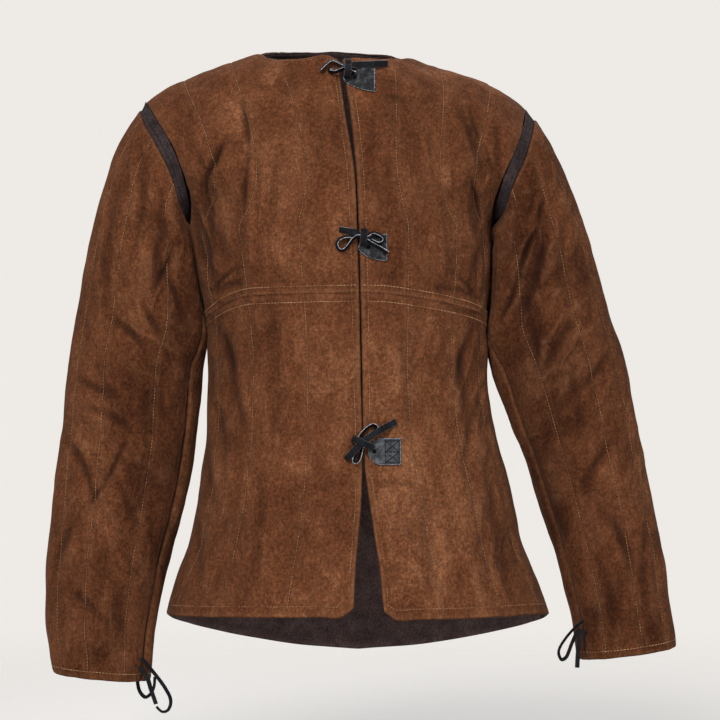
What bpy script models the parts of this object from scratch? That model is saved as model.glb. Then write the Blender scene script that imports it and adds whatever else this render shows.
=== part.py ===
"""A suede gambeson, filled out as on a wearer with nobody inside: two fronts and a back, each cut
across at the waist, two two-piece sleeves let in with a canvas strip, a back lining, and leather
thong ties at the breast, waist and cuffs. The wearer's right is at -X, the front faces -Y, and the
origin is the middle of the neck opening at the height where the neck meets the shoulders."""
import bpy
import math
import numpy as np
from mathutils import Matrix, Vector
from mathutils.bvhtree import BVHTree

MM = 0.001

# Overall sizes, in millimetres
WALL = 6.0
STITCH_DIP = 2.4
SHOULDER_DIP_SHARE = 0.45
EDGE_DIP = 1.6
SEAM_GAP = 0.3
SLEEVE_GAP = 0.22
SLEEVE_CLEARANCE = 1.5
CHEST_HEIGHT = -218.0
SECTION_POWER = 2.3
LINING_THICKNESS = 1.0
LINING_CLEARANCE = 0.75
LINING_SLACK = 7.5
STRIP_THICKNESS = 1.4
# Widest that the canvas strip may be: degrees round the armhole from the shoulder by the front, width
STRIP_WIDTHS = ((-85, 60), (0, 60), (45, 16.5), (150, 15.0), (180, 7.0), (225, 60), (275, 60))
THONG_WIDTH = 8.0
THONG_THICKNESS = 1.6
TAB_THICKNESS = 1.8

# Where the quilting lines lie across each quarter, as parts of the way from the middle to the side
QUILT_LINES = (0.0, 0.255, 0.53, 0.78, 1.0)
# Where the grid has columns within one channel, and how far below its crown each lies
CHANNEL_COLUMNS = ((0.0, 1.0), (0.17, 0.25), (0.5, 0.0), (0.83, 0.25))
NECK_COLUMN = 6

# Torso outline: height, middle, half width, front depth, back depth
TORSO = (
    (-800, 32, 256, 171, 198),
    (-762, 31, 251, 167, 189),
    (-696, 30, 241.5, 158, 175),
    (-662, 28, 229, 152, 166),
    (-612, 27, 209, 144, 154),
    (-575, 28, 201, 138, 146),
    (-537, 27, 194, 133, 138),
    (-500, 24, 185, 128, 129),
    (-462, 22, 179, 123, 120),
    (-425, 18, 175.5, 119, 112),
    (-400, 17.5, 173.5, 118, 109),
    (-356, 17, 175, 119, 108),
    (-306, 16, 179, 124, 114),
    (-256, 13, 185, 130, 122),
    (-218, 10, 188, 132, 128),
    (-160, 9, 190, 128, 130),
    (-110, 8, 190, 116, 124),
    (-60, 6, 190, 98, 102),
    (-15, 4, 190, 80, 78),
    (14, 0, 190, 74, 60),
)

# Front edges: height, right front's edge, left front's edge
FRONT_EDGES = (
    (-700, 24.5, 65),
    (-677, 25.9, 61.3),
    (-625, 28.3, 55.8),
    (-586, 32.0, 49.6),
    (-566, 34.2, 46.5),
    (-524, 35.6, 40.8),
    (-498, 36.0, 37.6),
    (-429, 34.9, 36.1),
    (-309, 32.6, 33.8),
    (-167, 28.0, 29.2),
    (-118, 21.4, 25.2),
    (-81, 15.9, 21.0),
    (-35, 9.5, 14.0),
    (-15, 7.0, 11.5),
)

# Hem and waist seam: part of the way from the middle to the side, height
HEM_RIGHT_FRONT = ((0.0, -684), (0.5, -688), (0.8, -693), (1.0, -697))
HEM_LEFT_FRONT = ((0.0, -688), (0.6, -688), (1.0, -697))
HEM_BACK = ((0.0, -761), (0.2, -756), (0.5, -737), (0.75, -717), (1.0, -697))
WAIST_FRONT = ((0.0, -301), (0.6, -305), (0.85, -313), (1.0, -321))
WAIST_BACK = ((0.0, -317), (0.5, -318), (1.0, -321))
CORNER_RISE = ((0.0, 10.0), (0.02, 3.5), (0.045, 0.0), (1.0, 0.0))

# Neckline from the middle to the neck point: x, y, z
NECK_RIGHT_FRONT = ((7.0, -80, -15), (-10.5, -79, -8), (-36, -68, -10), (-62, -50, -11), (-95, 0, 2))
NECK_LEFT_FRONT = ((11.5, -80, -14), (31, -76, -11.5), (64, -50, -9), (94, 0, -3.5))
NECK_RIGHT_BACK = ((0, 60, 14), (-38, 52, 13), (-74, 30, 9), (-95, 0, 2))
NECK_LEFT_BACK = ((0, 60, 14), (38, 52, 11), (74, 30, 5), (94, 0, -3.5))

# Shoulder seam from the neck point to the shoulder point: x, y, z
SHOULDER_RIGHT = ((-95, 0, 2), (-137, 3, -12.5), (-169.5, 5, -25), (-201, 6, -37.5), (-236, 5, -56))
SHOULDER_LEFT = ((94, 0, -3.5), (112, 1, -12), (159, 4, -25), (192, 6, -37.5), (219, 6, -50), (241.5, 5, -66))

# Armhole from the armpit to the shoulder point: x, front y, back y, z
ARMHOLE_RIGHT = (
    (-178, 0, 0, -218),
    (-177, -30, 36, -197),
    (-179.5, -58, 66, -173),
    (-187, -72, 80, -145),
    (-198, -71, 78, -118),
    (-213, -57, 66, -92),
    (-226, -32, 44, -72),
    (-236, 5, 5, -56),
)
ARMHOLE_LEFT = (
    (198, 0, 0, -218),
    (199, -30, 36, -198),
    (204, -56, 65, -177),
    (213, -70, 79, -151),
    (223, -70, 77, -126),
    (232, -57, 65, -102),
    (238, -32, 43, -82),
    (241.5, 5, 5, -66),
)

# How the upper panels leave the chest and round over the shoulder: part of the way up, rise
SHOULDER_ROUNDING = ((0.0, 0.0), (0.55, 0.0), (0.8, 6.0), (0.92, 7.0), (1.0, 0.0))

# Sleeves: outer x, outer z, inner x, inner z, middle y, front depth, back depth, inward turn in degrees
SLEEVE_RIGHT = (
    (-243, -68, -182, -227, 4, 68, 72, 0),
    (-261, -100, -176, -238, 4, 70, 72, 0),
    (-277, -134, -165, -252, 5, 71, 72, 0),
    (-290, -175, -157, -270, 6, 71, 72, 0),
    (-301, -214, -152, -291, 6, 70, 71, 0),
    (-311, -263, -149, -322, 6, 69, 70, 1),
    (-319.5, -312, -149, -356, 6, 68, 69, 1),
    (-328, -362, -163, -394, 5, 67, 67, 2),
    (-334.5, -412, -166, -438, 3, 66, 65, 3),
    (-338, -462, -171, -484, -1, 64, 63, 5),
    (-344.5, -512, -179, -532, -5, 62, 61, 6),
    (-349.5, -562, -190, -580, -10, 60, 58, 8),
    (-354.5, -612, -203, -629, -15, 57, 54, 10),
    (-356, -662, -213, -676, -19, 53, 50, 12),
    (-355.5, -710, -220, -721, -22, 49, 46, 13),
    (-350, -744, -223.5, -754, -24, 47, 43, 14),
    (-348, -767, -225, -777, -25, 46, 42, 14),
)
SLEEVE_LEFT = (
    (252.5, -80, 209, -225, 4, 68, 72, 0),
    (268, -105, 203, -236, 4, 70, 72, 0),
    (283, -136, 192, -251, 5, 71, 72, 0),
    (300, -177, 184, -269, 6, 71, 72, 0),
    (316, -220, 181, -290, 6, 70, 71, 0),
    (331.5, -274, 179, -322, 6, 69, 70, 1),
    (345.5, -320, 179, -357, 6, 68, 69, 1),
    (360, -366, 198, -397, 5, 67, 67, 2),
    (371.5, -424, 220, -458, 2, 65, 65, 3),
    (382, -480, 238.5, -505, -2, 62, 62, 5),
    (392.5, -532, 254.5, -556, -7, 59, 58, 6),
    (403, -584, 270.5, -606, -13, 56, 54, 8),
    (411, -636, 284.5, -657, -18, 52, 49, 9),
    (417, -687, 296, -706, -22, 48, 45, 10),
    (422.5, -718, 299, -735, -24, 46, 43, 10),
    (425, -735, 300.5, -751, -25, 45, 42, 10),
)
SLEEVE_POWER = 2.15
# Quilting lines round a sleeve, in degrees from the outer side through the front, and the two seams
SLEEVE_LINES = (-85, -43, 0, 33, 65.5, 108.5, 148, 180, 228, 275)
FRONT_SEAM_LINE = 6
SLIT_FIRST_ROW = 8
SLIT_TUCK = 5.0
SLIT_WIDTH = 3.0
SLEEVE_COLUMNS = ((0.0, 1.0), (0.2, 0.2), (0.8, 0.2))

# Ties: middle of each knot (x, z) and the rows of its pieces as x, z from the knot, lift and roll.
# A roll of 0 lies flat on the front and 90 stands on its edge. The thong listed first lies underneath.
TIES = {
    "breast": {
        "knot": (16.0, -25.0),
        "tab": (36.5, -31.0, 0.0),
        "thong_right": (
            (-31, -5.5, 5.5, 90), (-28.5, -2.4, 5.0, 90), (-23, 3.0, 4.8, 90), (-17, 7.2, 4.8, 90),
            (-11, 6.2, 4.8, 90), (-6, 3.6, 5.0, 90), (-1, 1.6, 5.2, 90), (5, 1.0, 5.2, 75),
            (12, 1.4, 4.0, 30), (20, 2.2, 2.0, 0), (36, 3.4, 1.5, 0), (51, 5.0, 1.5, 0),
        ),
        "thong_left": (
            (11, -9.2, 3.0, 90), (6, -7.0, 5.0, 90), (2, -4.4, 5.0, 90), (-2.5, -3.6, 5.0, 90),
            (-6.5, -5.2, 5.0, 90), (-12.5, -7.9, 5.0, 90), (-17, -8.0, 5.0, 90), (-20.2, -6.2, 5.2, 90),
            (-18.6, -3.4, 5.2, 90), (-14.5, -3.8, 5.2, 90),
        ),
        "wrap": ((1.6, 11.0, 1.6), (2.0, 9.6, 7.0), (2.6, 6.0, 11.4), (3.0, 0.0, 12.4), (2.6, -6.0, 15.0),
                 (1.8, -12.0, 12.0), (1.2, -14.4, 2.2)),
        "wrap_side": (1.0, 0.0),
    },
    "waist": {
        "knot": (36.6, -235.5),
        "tab": (49.0, -247.0, 0.0),
        "thong_right": (
            (-28.5, 9.5, 1.4, 0), (-22, 8.8, 1.4, 0), (-15, 7.6, 1.6, 0), (-9.5, 6.6, 3.6, 45),
            (-4, 5.0, 4.8, 85), (0.5, 3.6, 4.8, 90), (5.2, 2.6, 5.0, 90), (9, 5.0, 5.0, 90),
            (13, 6.2, 5.0, 90), (19, 4.2, 5.0, 90), (24, 0.8, 5.0, 90), (25, -2.8, 5.0, 90),
            (22.6, -6.0, 5.0, 90), (18.4, -6.8, 5.0, 90), (13.5, -5.0, 5.0, 90), (9.5, -3.0, 5.0, 90),
        ),
        "thong_left": (
            (29.4, -18.4, 4.6, 80), (21, -12.6, 4.8, 85), (13.5, -8.6, 4.8, 90), (6, -4.0, 4.8, 90),
            (0.5, -1.0, 4.8, 90), (-4.5, 1.6, 4.8, 90), (-8.5, 0.8, 4.8, 90), (-12.8, -2.8, 4.8, 90),
            (-16.5, -8.4, 4.8, 90), (-21, -13.2, 4.8, 90), (-25, -15.2, 4.8, 90), (-29, -13.6, 4.8, 90),
            (-31.4, -8.0, 4.8, 90), (-29.2, -2.8, 4.8, 90), (-23, 0.9, 4.8, 90), (-17, 1.6, 4.8, 90),
            (-13.0, 1.2, 4.8, 90),
        ),
        "wrap": ((0.8, 10.8, 1.5), (0.8, 9.4, 7.0), (0.8, 5.5, 11.6), (0.6, 0.5, 12.2), (0.4, -5.0, 11.4),
                 (0.2, -8.8, 6.6), (0.2, -10.0, 2.0)),
        "wrap_side": (1.0, 0.0),
    },
    "skirt": {
        "knot": (35.4, -477.5),
        "tab": (64.5, -489.5, 0.0),
        "thong_left": (
            (11.5, 8.0, 4.8, 90), (15.5, 12.6, 4.8, 90), (17.6, 16.4, 4.8, 90), (13.4, 19.4, 4.8, 90),
            (8.0, 16.8, 4.8, 90), (2.2, 12.0, 4.8, 90), (-2.4, 6.0, 4.8, 90), (-4.4, -1.0, 4.8, 90),
            (-4.8, -8.5, 4.8, 90), (-7.0, -14.6, 4.8, 90), (-9.6, -20.4, 4.8, 90), (-9.4, -24.6, 4.8, 90),
            (-5.6, -24.4, 4.8, 90), (-2.6, -19.2, 4.8, 90), (-0.8, -12.0, 4.8, 90), (0.0, -7.0, 4.8, 90),
        ),
        "thong_right": (
            (40.5, 22.8, 1.8, 0), (33, 18.8, 3.0, 0), (24, 14.2, 8.4, 0), (15.5, 9.2, 11.4, 0),
            (8, 4.4, 11.6, 0), (1, -0.6, 11.6, 0), (-5.5, -7.0, 11.6, 0), (-11.5, -13.6, 10.8, 0),
            (-16, -18.6, 6.4, 0), (-19, -22.2, 2.4, 0),
        ),
        "wrap": ((-11.6, 2.9, 2.0), (-10.0, 2.8, 8.6), (-5.6, 1.3, 14.2), (1.0, -1.8, 14.8), (7.6, -5.0, 13.4),
                 (12.0, -7.4, 8.4), (13.2, -8.2, 1.6)),
        "wrap_side": (0.42, 0.91),
    },
}
TAB_LENGTH = 34.0
TAB_HEIGHT = 31.0
TAB_HOLE = 5.0

# Cuff ties hanging from the forearm slits: x, y, z and roll
CUFF_TIES = {
    "cuff_tie_right_loop": (
        (-250, -32, -764, 90), (-248.5, -36, -775, 90), (-245.5, -40, -789, 90), (-238, -43, -797, 90),
        (-230.5, -46, -792, 90), (-226, -52, -782, 90), (-225, -55, -771, 90)),
    "cuff_tie_right_long": (
        (-230, -58, -746, 90), (-217.5, -61, -760, 90), (-204, -62, -777, 90), (-195, -60, -793, 90),
        (-194, -58, -803, 90), (-198, -57, -811, 90), (-205, -57, -812, 90), (-211.5, -57, -806, 90)),
    "cuff_tie_right_end": (
        (-229, -62, -758, 70), (-220, -66, -770, 40), (-215.5, -67, -784, 20), (-209, -66, -803, 15)),
    "cuff_tie_left_loop": (
        (306, -51, -702, 90), (298, -55, -707, 90), (287, -58, -718, 90), (278, -58, -731, 90),
        (275.5, -57, -740, 90), (279, -56, -748, 90), (285.5, -55, -744.5, 90), (291, -54, -731, 90),
        (297, -54, -717, 90), (302, -53, -711, 90)),
    "cuff_tie_left_end": (
        (306, -58, -712, 50), (300, -60, -722, 30), (297.5, -60, -738, 30), (296.5, -59, -758, 25)),
}

# Largest folds, as soft troughs: front (-1) or back (+1), x and z of both ends, width, depth
FOLDS = (
    (-1, -112, -62, -104, -205, 18, 6.0),
    (-1, 172, -68, 196, -162, 16, 6.0),
    (-1, 166, -168, 182, -235, 16, 4.0),
    (-1, -150, -225, -122, -330, 16, 4.0),
    (-1, -104, -369, -138, -470, 18, 4.5),
    (-1, -150, -500, -168, -640, 20, 4.0),
    (-1, 150, -345, 176, -450, 18, 4.5),
    (-1, 190, -520, 212, -650, 20, 4.0),
    (-1, 259, -186, 232, -277, 15, 7.0),
    (-1, 232, -277, 214, -325, 15, 4.0),
    (-1, 348, -330, 300, -372, 18, 4.0),
    (-1, 330, -520, 292, -585, 18, 4.0),
    (-1, -210, -215, -190, -300, 15, 6.0),
    (-1, -322, -385, -262, -418, 18, 4.0),
    (-1, -287, -527, -330, -625, 18, 5.0),
    (1, -120, -90, -110, -215, 20, 5.0),
    (1, 132, -90, 124, -215, 20, 5.0),
    (1, -128, -330, -60, -372, 20, 5.0),
    (1, 160, -336, 92, -376, 20, 5.0),
    (1, -120, -560, -130, -720, 26, 6.0),
    (1, 20, -600, 22, -745, 26, 5.0),
    (1, 165, -560, 172, -720, 26, 6.0),
    (1, 265, -200, 215, -300, 18, 6.0),
    (1, 352, -400, 262, -440, 20, 6.0),
    (1, -245, -205, -195, -300, 18, 6.0),
    (1, -326, -420, -205, -450, 20, 6.0),
    (1, -340, -560, -240, -600, 20, 4.0),
)

# Rows up the panels, as parts of the way
SKIRT_ROWS = (0.0, 0.05, 0.13, 0.23, 0.34, 0.45, 0.56, 0.67, 0.78, 0.88, 0.96, 1.0)
WAIST_ROWS = (0.0, 0.17, 0.45, 0.73, 1.0)
UPPER_ROWS = (0.0, 0.09, 0.19, 0.3, 0.41, 0.52, 0.63, 0.73, 0.82, 0.9, 0.96, 1.0)


def curve(table, key, columns=None):
    """Smooth curve through a table's rows: the other columns' values at the key, which may be an array."""
    rows = np.array(table, float)
    xs = rows[:, 0]
    ys = rows[:, 1:] if columns is None else rows[:, columns]
    key = np.clip(np.asarray(key, float), xs[0], xs[-1])
    step = np.diff(xs)[:, None]
    rise = np.diff(ys, axis=0) / step
    slope = np.empty_like(ys)
    slope[0] = rise[0]
    slope[-1] = rise[-1]
    both = rise[1:] * rise[:-1]
    total = rise[1:] + rise[:-1]
    slope[1:-1] = np.where(both > 0, 2 * both / np.where(total == 0, 1, total), 0)
    cell = np.clip(np.searchsorted(xs, key, side="right") - 1, 0, len(xs) - 2)
    t = ((key - xs[cell]) / step[cell, 0])[..., None]
    width = step[cell]
    left = (1 + 2 * t) * (1 - t) ** 2 * ys[cell] + t * (1 - t) ** 2 * width * slope[cell]
    right = t * t * (3 - 2 * t) * ys[cell + 1] + t * t * (t - 1) * width * slope[cell + 1]
    return left + right


def along(points, part):
    """Points at the given parts of a polyline's length, smoothed through its rows."""
    points = np.array(points, float)
    lengths = np.concatenate(([0], np.cumsum(np.linalg.norm(np.diff(points, axis=0), axis=1))))
    table = np.column_stack((lengths / lengths[-1], points))
    fine = curve(table, np.linspace(0, 1, 97))
    lengths = np.concatenate(([0], np.cumsum(np.linalg.norm(np.diff(fine, axis=0), axis=1))))
    return curve(np.column_stack((lengths / lengths[-1], fine)), part)


def power(value, exponent):
    return np.sign(value) * np.abs(value) ** exponent


def half_outline(height, face):
    """Outline of the front (-1) or back (+1) half at one height, from the wearer's right to the left."""
    middle, half, front, back = curve(TORSO, height)
    angle = np.linspace(-90, 90, 121) * math.pi / 180
    depth = front if face < 0 else back
    x = middle + half * power(np.sin(angle), 2 / SECTION_POWER)
    y = face * depth * np.abs(np.cos(angle)) ** (2 / SECTION_POWER)
    arc = np.concatenate(([0], np.cumsum(np.hypot(np.diff(x), np.diff(y)))))
    return x, y, arc


def edge_x(height, side, face):
    """Where the middle edge of a quarter lies: a front's own edge, or the middle of the back."""
    if face > 0:
        return curve(TORSO, height)[0]
    return curve(FRONT_EDGES, height)[0 if side < 0 else 1]


def section_point(height, part, side, face):
    """Point on the torso's outline at a part of the way from a quarter's middle edge to its side."""
    x, y, arc = half_outline(height, face)
    start = np.interp(edge_x(height, side, face), x, arc)
    end = 0.0 if side < 0 else arc[-1]
    place = start + (end - start) * part
    return np.array((np.interp(place, arc, x), np.interp(place, arc, y), height))


def cut_section(height, parts, side, face, stop):
    """Points across a quarter whose outline is cut off at the armhole's depth, less their chord."""
    x, y, arc = half_outline(height, face)
    start = np.interp(edge_x(height, side, face), x, arc)
    order = slice(0, 61) if side < 0 else slice(60, 121)
    depths = y[order] if side < 0 else y[order][::-1]
    arcs = arc[order] if side < 0 else arc[order][::-1]
    if face < 0:
        end = np.interp(-stop, -depths, arcs)
    else:
        end = np.interp(stop, depths, arcs)
    place = start + (end - start) * parts
    points = np.column_stack((np.interp(place, arc, x), np.interp(place, arc, y), 0 * place))
    return points - points[:1] * (1 - parts[:, None]) - points[-1:] * parts[:, None]


def quarter_columns(columns=CHANNEL_COLUMNS, lines=QUILT_LINES):
    """Parts across a quarter and the dip of the quilting at each."""
    parts = []
    dips = []
    for start, end in zip(lines[:-1], lines[1:]):
        for part, dip in columns:
            parts.append(start + (end - start) * part)
            dips.append(dip * STITCH_DIP)
    parts.append(lines[-1])
    dips.append(STITCH_DIP)
    return np.array(parts), np.array(dips)


def upper_rows(side, face, parts):
    """Grid from the chest up to the neckline and shoulder seam, with the armhole as its outer edge."""
    armhole = np.array(ARMHOLE_RIGHT if side < 0 else ARMHOLE_LEFT, float)
    armhole = armhole[:, (0, 1, 3)] if face < 0 else armhole[:, (0, 2, 3)]
    armhole[0] = section_point(CHEST_HEIGHT, 1.0, side, face)
    neck = {(-1, -1): NECK_RIGHT_FRONT, (1, -1): NECK_LEFT_FRONT,
            (-1, 1): NECK_RIGHT_BACK, (1, 1): NECK_LEFT_BACK}[(side, face)]
    shoulder = SHOULDER_RIGHT if side < 0 else SHOULDER_LEFT
    split = parts[NECK_COLUMN]
    top = np.where((parts < split)[:, None],
                   along(neck, np.clip(parts / split, 0, 1)),
                   along(shoulder, np.clip((parts - split) / (1 - split), 0, 1)))
    heights = np.linspace(CHEST_HEIGHT, neck[0][2], 24)
    middle = [(edge_x(z, side, face), face * curve(TORSO, z)[2 if face < 0 else 3], z) for z in heights]
    middle[0] = section_point(CHEST_HEIGHT, 0.0, side, face)
    middle[-1] = neck[0]
    rows = np.array(UPPER_ROWS)
    edge = along(middle, rows)
    outer = along(armhole, rows)
    chord_top = top[:1] * (1 - parts[:, None]) + top[-1:] * parts[:, None]
    grid = []
    for row, level in enumerate(rows):
        late = np.clip((level - 0.35) / 0.65, 0, 1)
        share = np.array((late ** 2, late ** 2, 1 - (1 - late) ** 2))
        chord = edge[row] * (1 - parts[:, None]) + outer[row] * parts[:, None]
        shape = cut_section(edge[row][2], parts, side, face, outer[row][1])
        lift = curve(SHOULDER_ROUNDING, level)[0] * np.sin(np.pi * np.clip(parts, 0, 1)) ** 0.7
        points = chord + (1 - late ** 2) * shape + share * (top - chord_top)
        points[:, 2] += lift
        grid.append(points)
    return grid


def quarter(side, face):
    """One quarter of the torso's outer form, rows from the hem up and columns from the middle out."""
    parts, dips = quarter_columns()
    hem = HEM_BACK if face > 0 else (HEM_RIGHT_FRONT if side < 0 else HEM_LEFT_FRONT)
    waist = WAIST_BACK if face > 0 else WAIST_FRONT
    low = curve(hem, parts)[:, 0]
    if face < 0:
        low = low + curve(CORNER_RISE, parts)[:, 0]
    seam = curve(waist, parts)[:, 0]
    grid = []
    for level in SKIRT_ROWS:
        heights = low + (seam - low) * level
        grid.append([section_point(z, part, side, face) for z, part in zip(heights, parts)])
    for level in WAIST_ROWS[1:-1]:
        heights = seam + (CHEST_HEIGHT - seam) * level
        grid.append([section_point(z, part, side, face) for z, part in zip(heights, parts)])
    grid.extend(upper_rows(side, face, parts))
    return np.array(grid), dips


def grid_normals(grid, flip):
    """Unit normals of a grid of points."""
    across = np.gradient(grid, axis=1)
    up = np.gradient(grid, axis=0)
    normal = np.cross(across, up) * flip
    return normal / np.linalg.norm(normal, axis=2, keepdims=True)


def mean_normals(first, second):
    total = first + second
    return total / np.linalg.norm(total, axis=-1, keepdims=True)


def fold_depth(points, normals):
    """How far the folds press the cloth in at each point."""
    total = np.zeros(points.shape[:-1])
    for face, x0, z0, x1, z1, width, depth in FOLDS:
        run = np.array((x1 - x0, z1 - z0), float)
        offset = points[..., (0, 2)] - np.array((x0, z0), float)
        share = np.clip((offset @ run) / (run @ run), 0, 1)
        distance = np.linalg.norm(offset - share[..., None] * run, axis=-1)
        facing = np.clip(normals[..., 1] * face * 2.5, 0, 1)
        total += depth * np.exp(-(distance / width) ** 2) * facing * (0.45 + 0.55 * np.sin(np.pi * share))
    return total


def clear_scene():
    for item in list(bpy.data.objects):
        bpy.data.objects.remove(item, do_unlink=True)


def make_material(name, colour, roughness):
    material = bpy.data.materials.new(name)
    material.use_nodes = True
    shader = material.node_tree.nodes["Principled BSDF"]
    shader.inputs["Base Color"].default_value = (*colour, 1.0)
    shader.inputs["Roughness"].default_value = roughness
    shader.inputs["Metallic"].default_value = 0.0
    material.diffuse_color = (*colour, 1.0)
    return material


def solid_from_layers(name, outer, inner, closed, material, collection):
    """Closed wall between an outer and an inner grid of points, an open sheet or a closed tube."""
    rows, columns = outer.shape[:2]
    count = rows * columns
    points = np.concatenate((outer.reshape(-1, 3), inner.reshape(-1, 3))) * MM
    faces = []
    last = columns if closed else columns - 1
    for r in range(rows - 1):
        for c in range(last):
            n = (c + 1) % columns
            a, b, d, e = r * columns + c, r * columns + n, (r + 1) * columns + n, (r + 1) * columns + c
            faces.extend(((a, b, d), (a, d, e)))
            faces.extend(((count + a, count + d, count + b), (count + a, count + e, count + d)))
    for c in range(last):
        n = (c + 1) % columns
        top = (rows - 1) * columns
        faces.extend(((n, c, count + n), (c, count + c, count + n)))
        faces.extend(((top + c, top + n, count + top + n), (top + c, count + top + n, count + top + c)))
    if not closed:
        for r in range(rows - 1):
            a, b = r * columns, (r + 1) * columns
            faces.extend(((a, b, count + b), (a, count + b, count + a)))
            a, b = a + columns - 1, b + columns - 1
            faces.extend(((b, a, count + b), (a, count + a, count + b)))
    mesh = bpy.data.meshes.new(name)
    mesh.from_pydata([tuple(p) for p in points], [], faces)
    mesh.validate()
    volume = sum(signed_volume(mesh, face) for face in mesh.polygons)
    if volume < 0:
        mesh.flip_normals()
    mesh.materials.append(material)
    item = bpy.data.objects.new(name, mesh)
    collection.objects.link(item)
    return item


def signed_volume(mesh, face):
    corners = [mesh.vertices[i].co for i in face.vertices]
    return sum(corners[0].dot(corners[i].cross(corners[i + 1])) for i in range(1, len(corners) - 1))


def pull_in(layer, rows_low, rows_high, columns_low, columns_high, gap=SEAM_GAP / 2):
    """Moves the named edges of a grid inwards by half a seam's gap."""
    layer = layer.copy()

    def shift(edge, inside):
        way = inside - edge
        return edge + way / np.linalg.norm(way, axis=-1, keepdims=True) * gap

    if rows_low:
        layer[0] = shift(layer[0], layer[1])
    if rows_high:
        layer[-1] = shift(layer[-1], layer[-2])
    if columns_low:
        layer[:, 0] = shift(layer[:, 0], layer[:, 1])
    if columns_high:
        layer[:, -1] = shift(layer[:, -1], layer[:, -2])
    return layer


clear_scene()
garment = bpy.data.collections.new("gambeson")
bpy.context.scene.collection.children.link(garment)
suede = make_material("brown_suede", (0.155, 0.055, 0.022), 0.92)
canvas = make_material("dark_canvas", (0.045, 0.030, 0.030), 0.95)
leather = make_material("black_leather", (0.012, 0.012, 0.014), 0.6)

# Torso: four quarters of one form, with normals shared across the seams
quarters = {}
normals = {}
for side in (-1, 1):
    for face in (-1, 1):
        grid, dips = quarter(side, face)
        quarters[side, face] = grid
        normals[side, face] = grid_normals(grid, -side * face)
waist_row = len(SKIRT_ROWS) - 1
chest_row = waist_row + len(WAIST_ROWS) - 1
for side in (-1, 1):
    front = normals[side, -1]
    back = normals[side, 1]
    shared = mean_normals(front[: chest_row + 1, -1], back[: chest_row + 1, -1])
    front[: chest_row + 1, -1] = shared
    back[: chest_row + 1, -1] = shared
    shared = mean_normals(front[-1, NECK_COLUMN:], back[-1, NECK_COLUMN:])
    front[-1, NECK_COLUMN:] = shared
    back[-1, NECK_COLUMN:] = shared
for face in (-1, 1):
    shared = mean_normals(normals[-1, face][:, 0], normals[1, face][:, 0])
    normals[-1, face][:, 0] = shared
    normals[1, face][:, 0] = shared
row_count = quarters[-1, -1].shape[0]
row_dips = np.zeros(row_count)
for row, dip in ((0, 2.4), (1, 2.2), (waist_row - 1, 2.4), (waist_row, 1.8), (waist_row + 1, 2.4),
                 (row_count - 1, 2.0)):
    row_dips[row] = dip

# The quilting flattens out towards the shoulder
dip_share = np.ones(row_count)
dip_share[chest_row:] = 1 - (1 - SHOULDER_DIP_SHARE) * np.array(UPPER_ROWS) ** 2

for key in quarters:
    quarters[key] = quarters[key] - normals[key] * fold_depth(quarters[key], normals[key])[..., None]

torso_walls = {}
for key, grid in quarters.items():
    dip = np.maximum(dips[None, :] * dip_share[:, None], row_dips[:, None])
    outer = grid - normals[key] * dip[:, :, None]
    inner = grid - normals[key] * WALL
    torso_walls[key] = (outer, inner)

names = {-1: "right", 1: "left"}
panels = {}
for side in (-1, 1):
    for part, low, high in (("skirt", 0, waist_row), ("bodice", waist_row, row_count - 1)):
        layers = [pull_in(layer[low:high + 1], low > 0, True, False, True) for layer in torso_walls[side, -1]]
        name = "front_%s_%s" % (names[side], part)
        panels[name] = solid_from_layers(name, layers[0], layers[1], False, suede, garment)
for part, low, high in (("skirt", 0, waist_row), ("bodice", waist_row, row_count - 1)):
    layers = []
    for layer in (0, 1):
        right = torso_walls[-1, 1][layer][low:high + 1]
        left = torso_walls[1, 1][layer][low:high + 1]
        whole = np.concatenate((right[:, ::-1], left[:, 1:]), axis=1)
        layers.append(pull_in(whole, low > 0, True, True, True))
    panels["back_" + part] = solid_from_layers("back_" + part, layers[0], layers[1], False, suede, garment)

# Back lining: canvas under the whole back, from neck to hem
lining_rows = list(range(0, chest_row, 2)) + list(range(chest_row, row_count))
clearance = np.where(np.array(lining_rows) < chest_row, LINING_SLACK, LINING_CLEARANCE)[:, None, None]
lining_layers = []
for depth in (WALL, WALL + LINING_THICKNESS):
    halves = [quarters[side, 1][lining_rows] - normals[side, 1][lining_rows] * (clearance + depth)
              for side in (-1, 1)]
    lining_layers.append(np.concatenate((halves[0][:, ::-1], halves[1][:, 1:]), axis=1))
solid_from_layers("back_lining", lining_layers[0], lining_layers[1], False, canvas, garment)


def armhole_edge(side):
    """Armhole edge of the torso from the shoulder point round by the front: points, normals, way out."""
    loops = []
    for face in (-1, 1):
        grid = quarters[side, face][chest_row:]
        normal = normals[side, face][chest_row:, -1]
        way = grid[:, -1] - grid[:, -2]
        way = way / np.linalg.norm(way, axis=1, keepdims=True)
        loops.append(np.column_stack((grid[:, -1], normal, way))[::-1])
    front, back = loops
    shared = mean_normals(front[0, 6:], back[0, 6:])
    front[0, 6:] = shared
    back[0, 6:] = shared
    front[-1, 6:] = (0, 0, 1)
    back[-1, 6:] = (0, 0, 1)
    return front, back


def edge_at(loop, part):
    lengths = np.concatenate(([0], np.cumsum(np.linalg.norm(np.diff(loop[:, :3], axis=0), axis=1))))
    place = part * lengths[-1]
    return np.array([np.interp(place, lengths, loop[:, i]) for i in range(9)])


def sleeve_angles():
    """Angles round a sleeve and the dip of the quilting at each, from the back seam round to itself."""
    angles = []
    dips = []
    seams = []
    for line, (start, end) in enumerate(zip(SLEEVE_LINES[:-1], SLEEVE_LINES[1:])):
        seams.append(len(angles))
        for part, dip in SLEEVE_COLUMNS:
            angles.append(start + (end - start) * part)
            dips.append(dip * STITCH_DIP)
    return np.array(angles), np.array(dips), seams[FRONT_SEAM_LINE]


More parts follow.
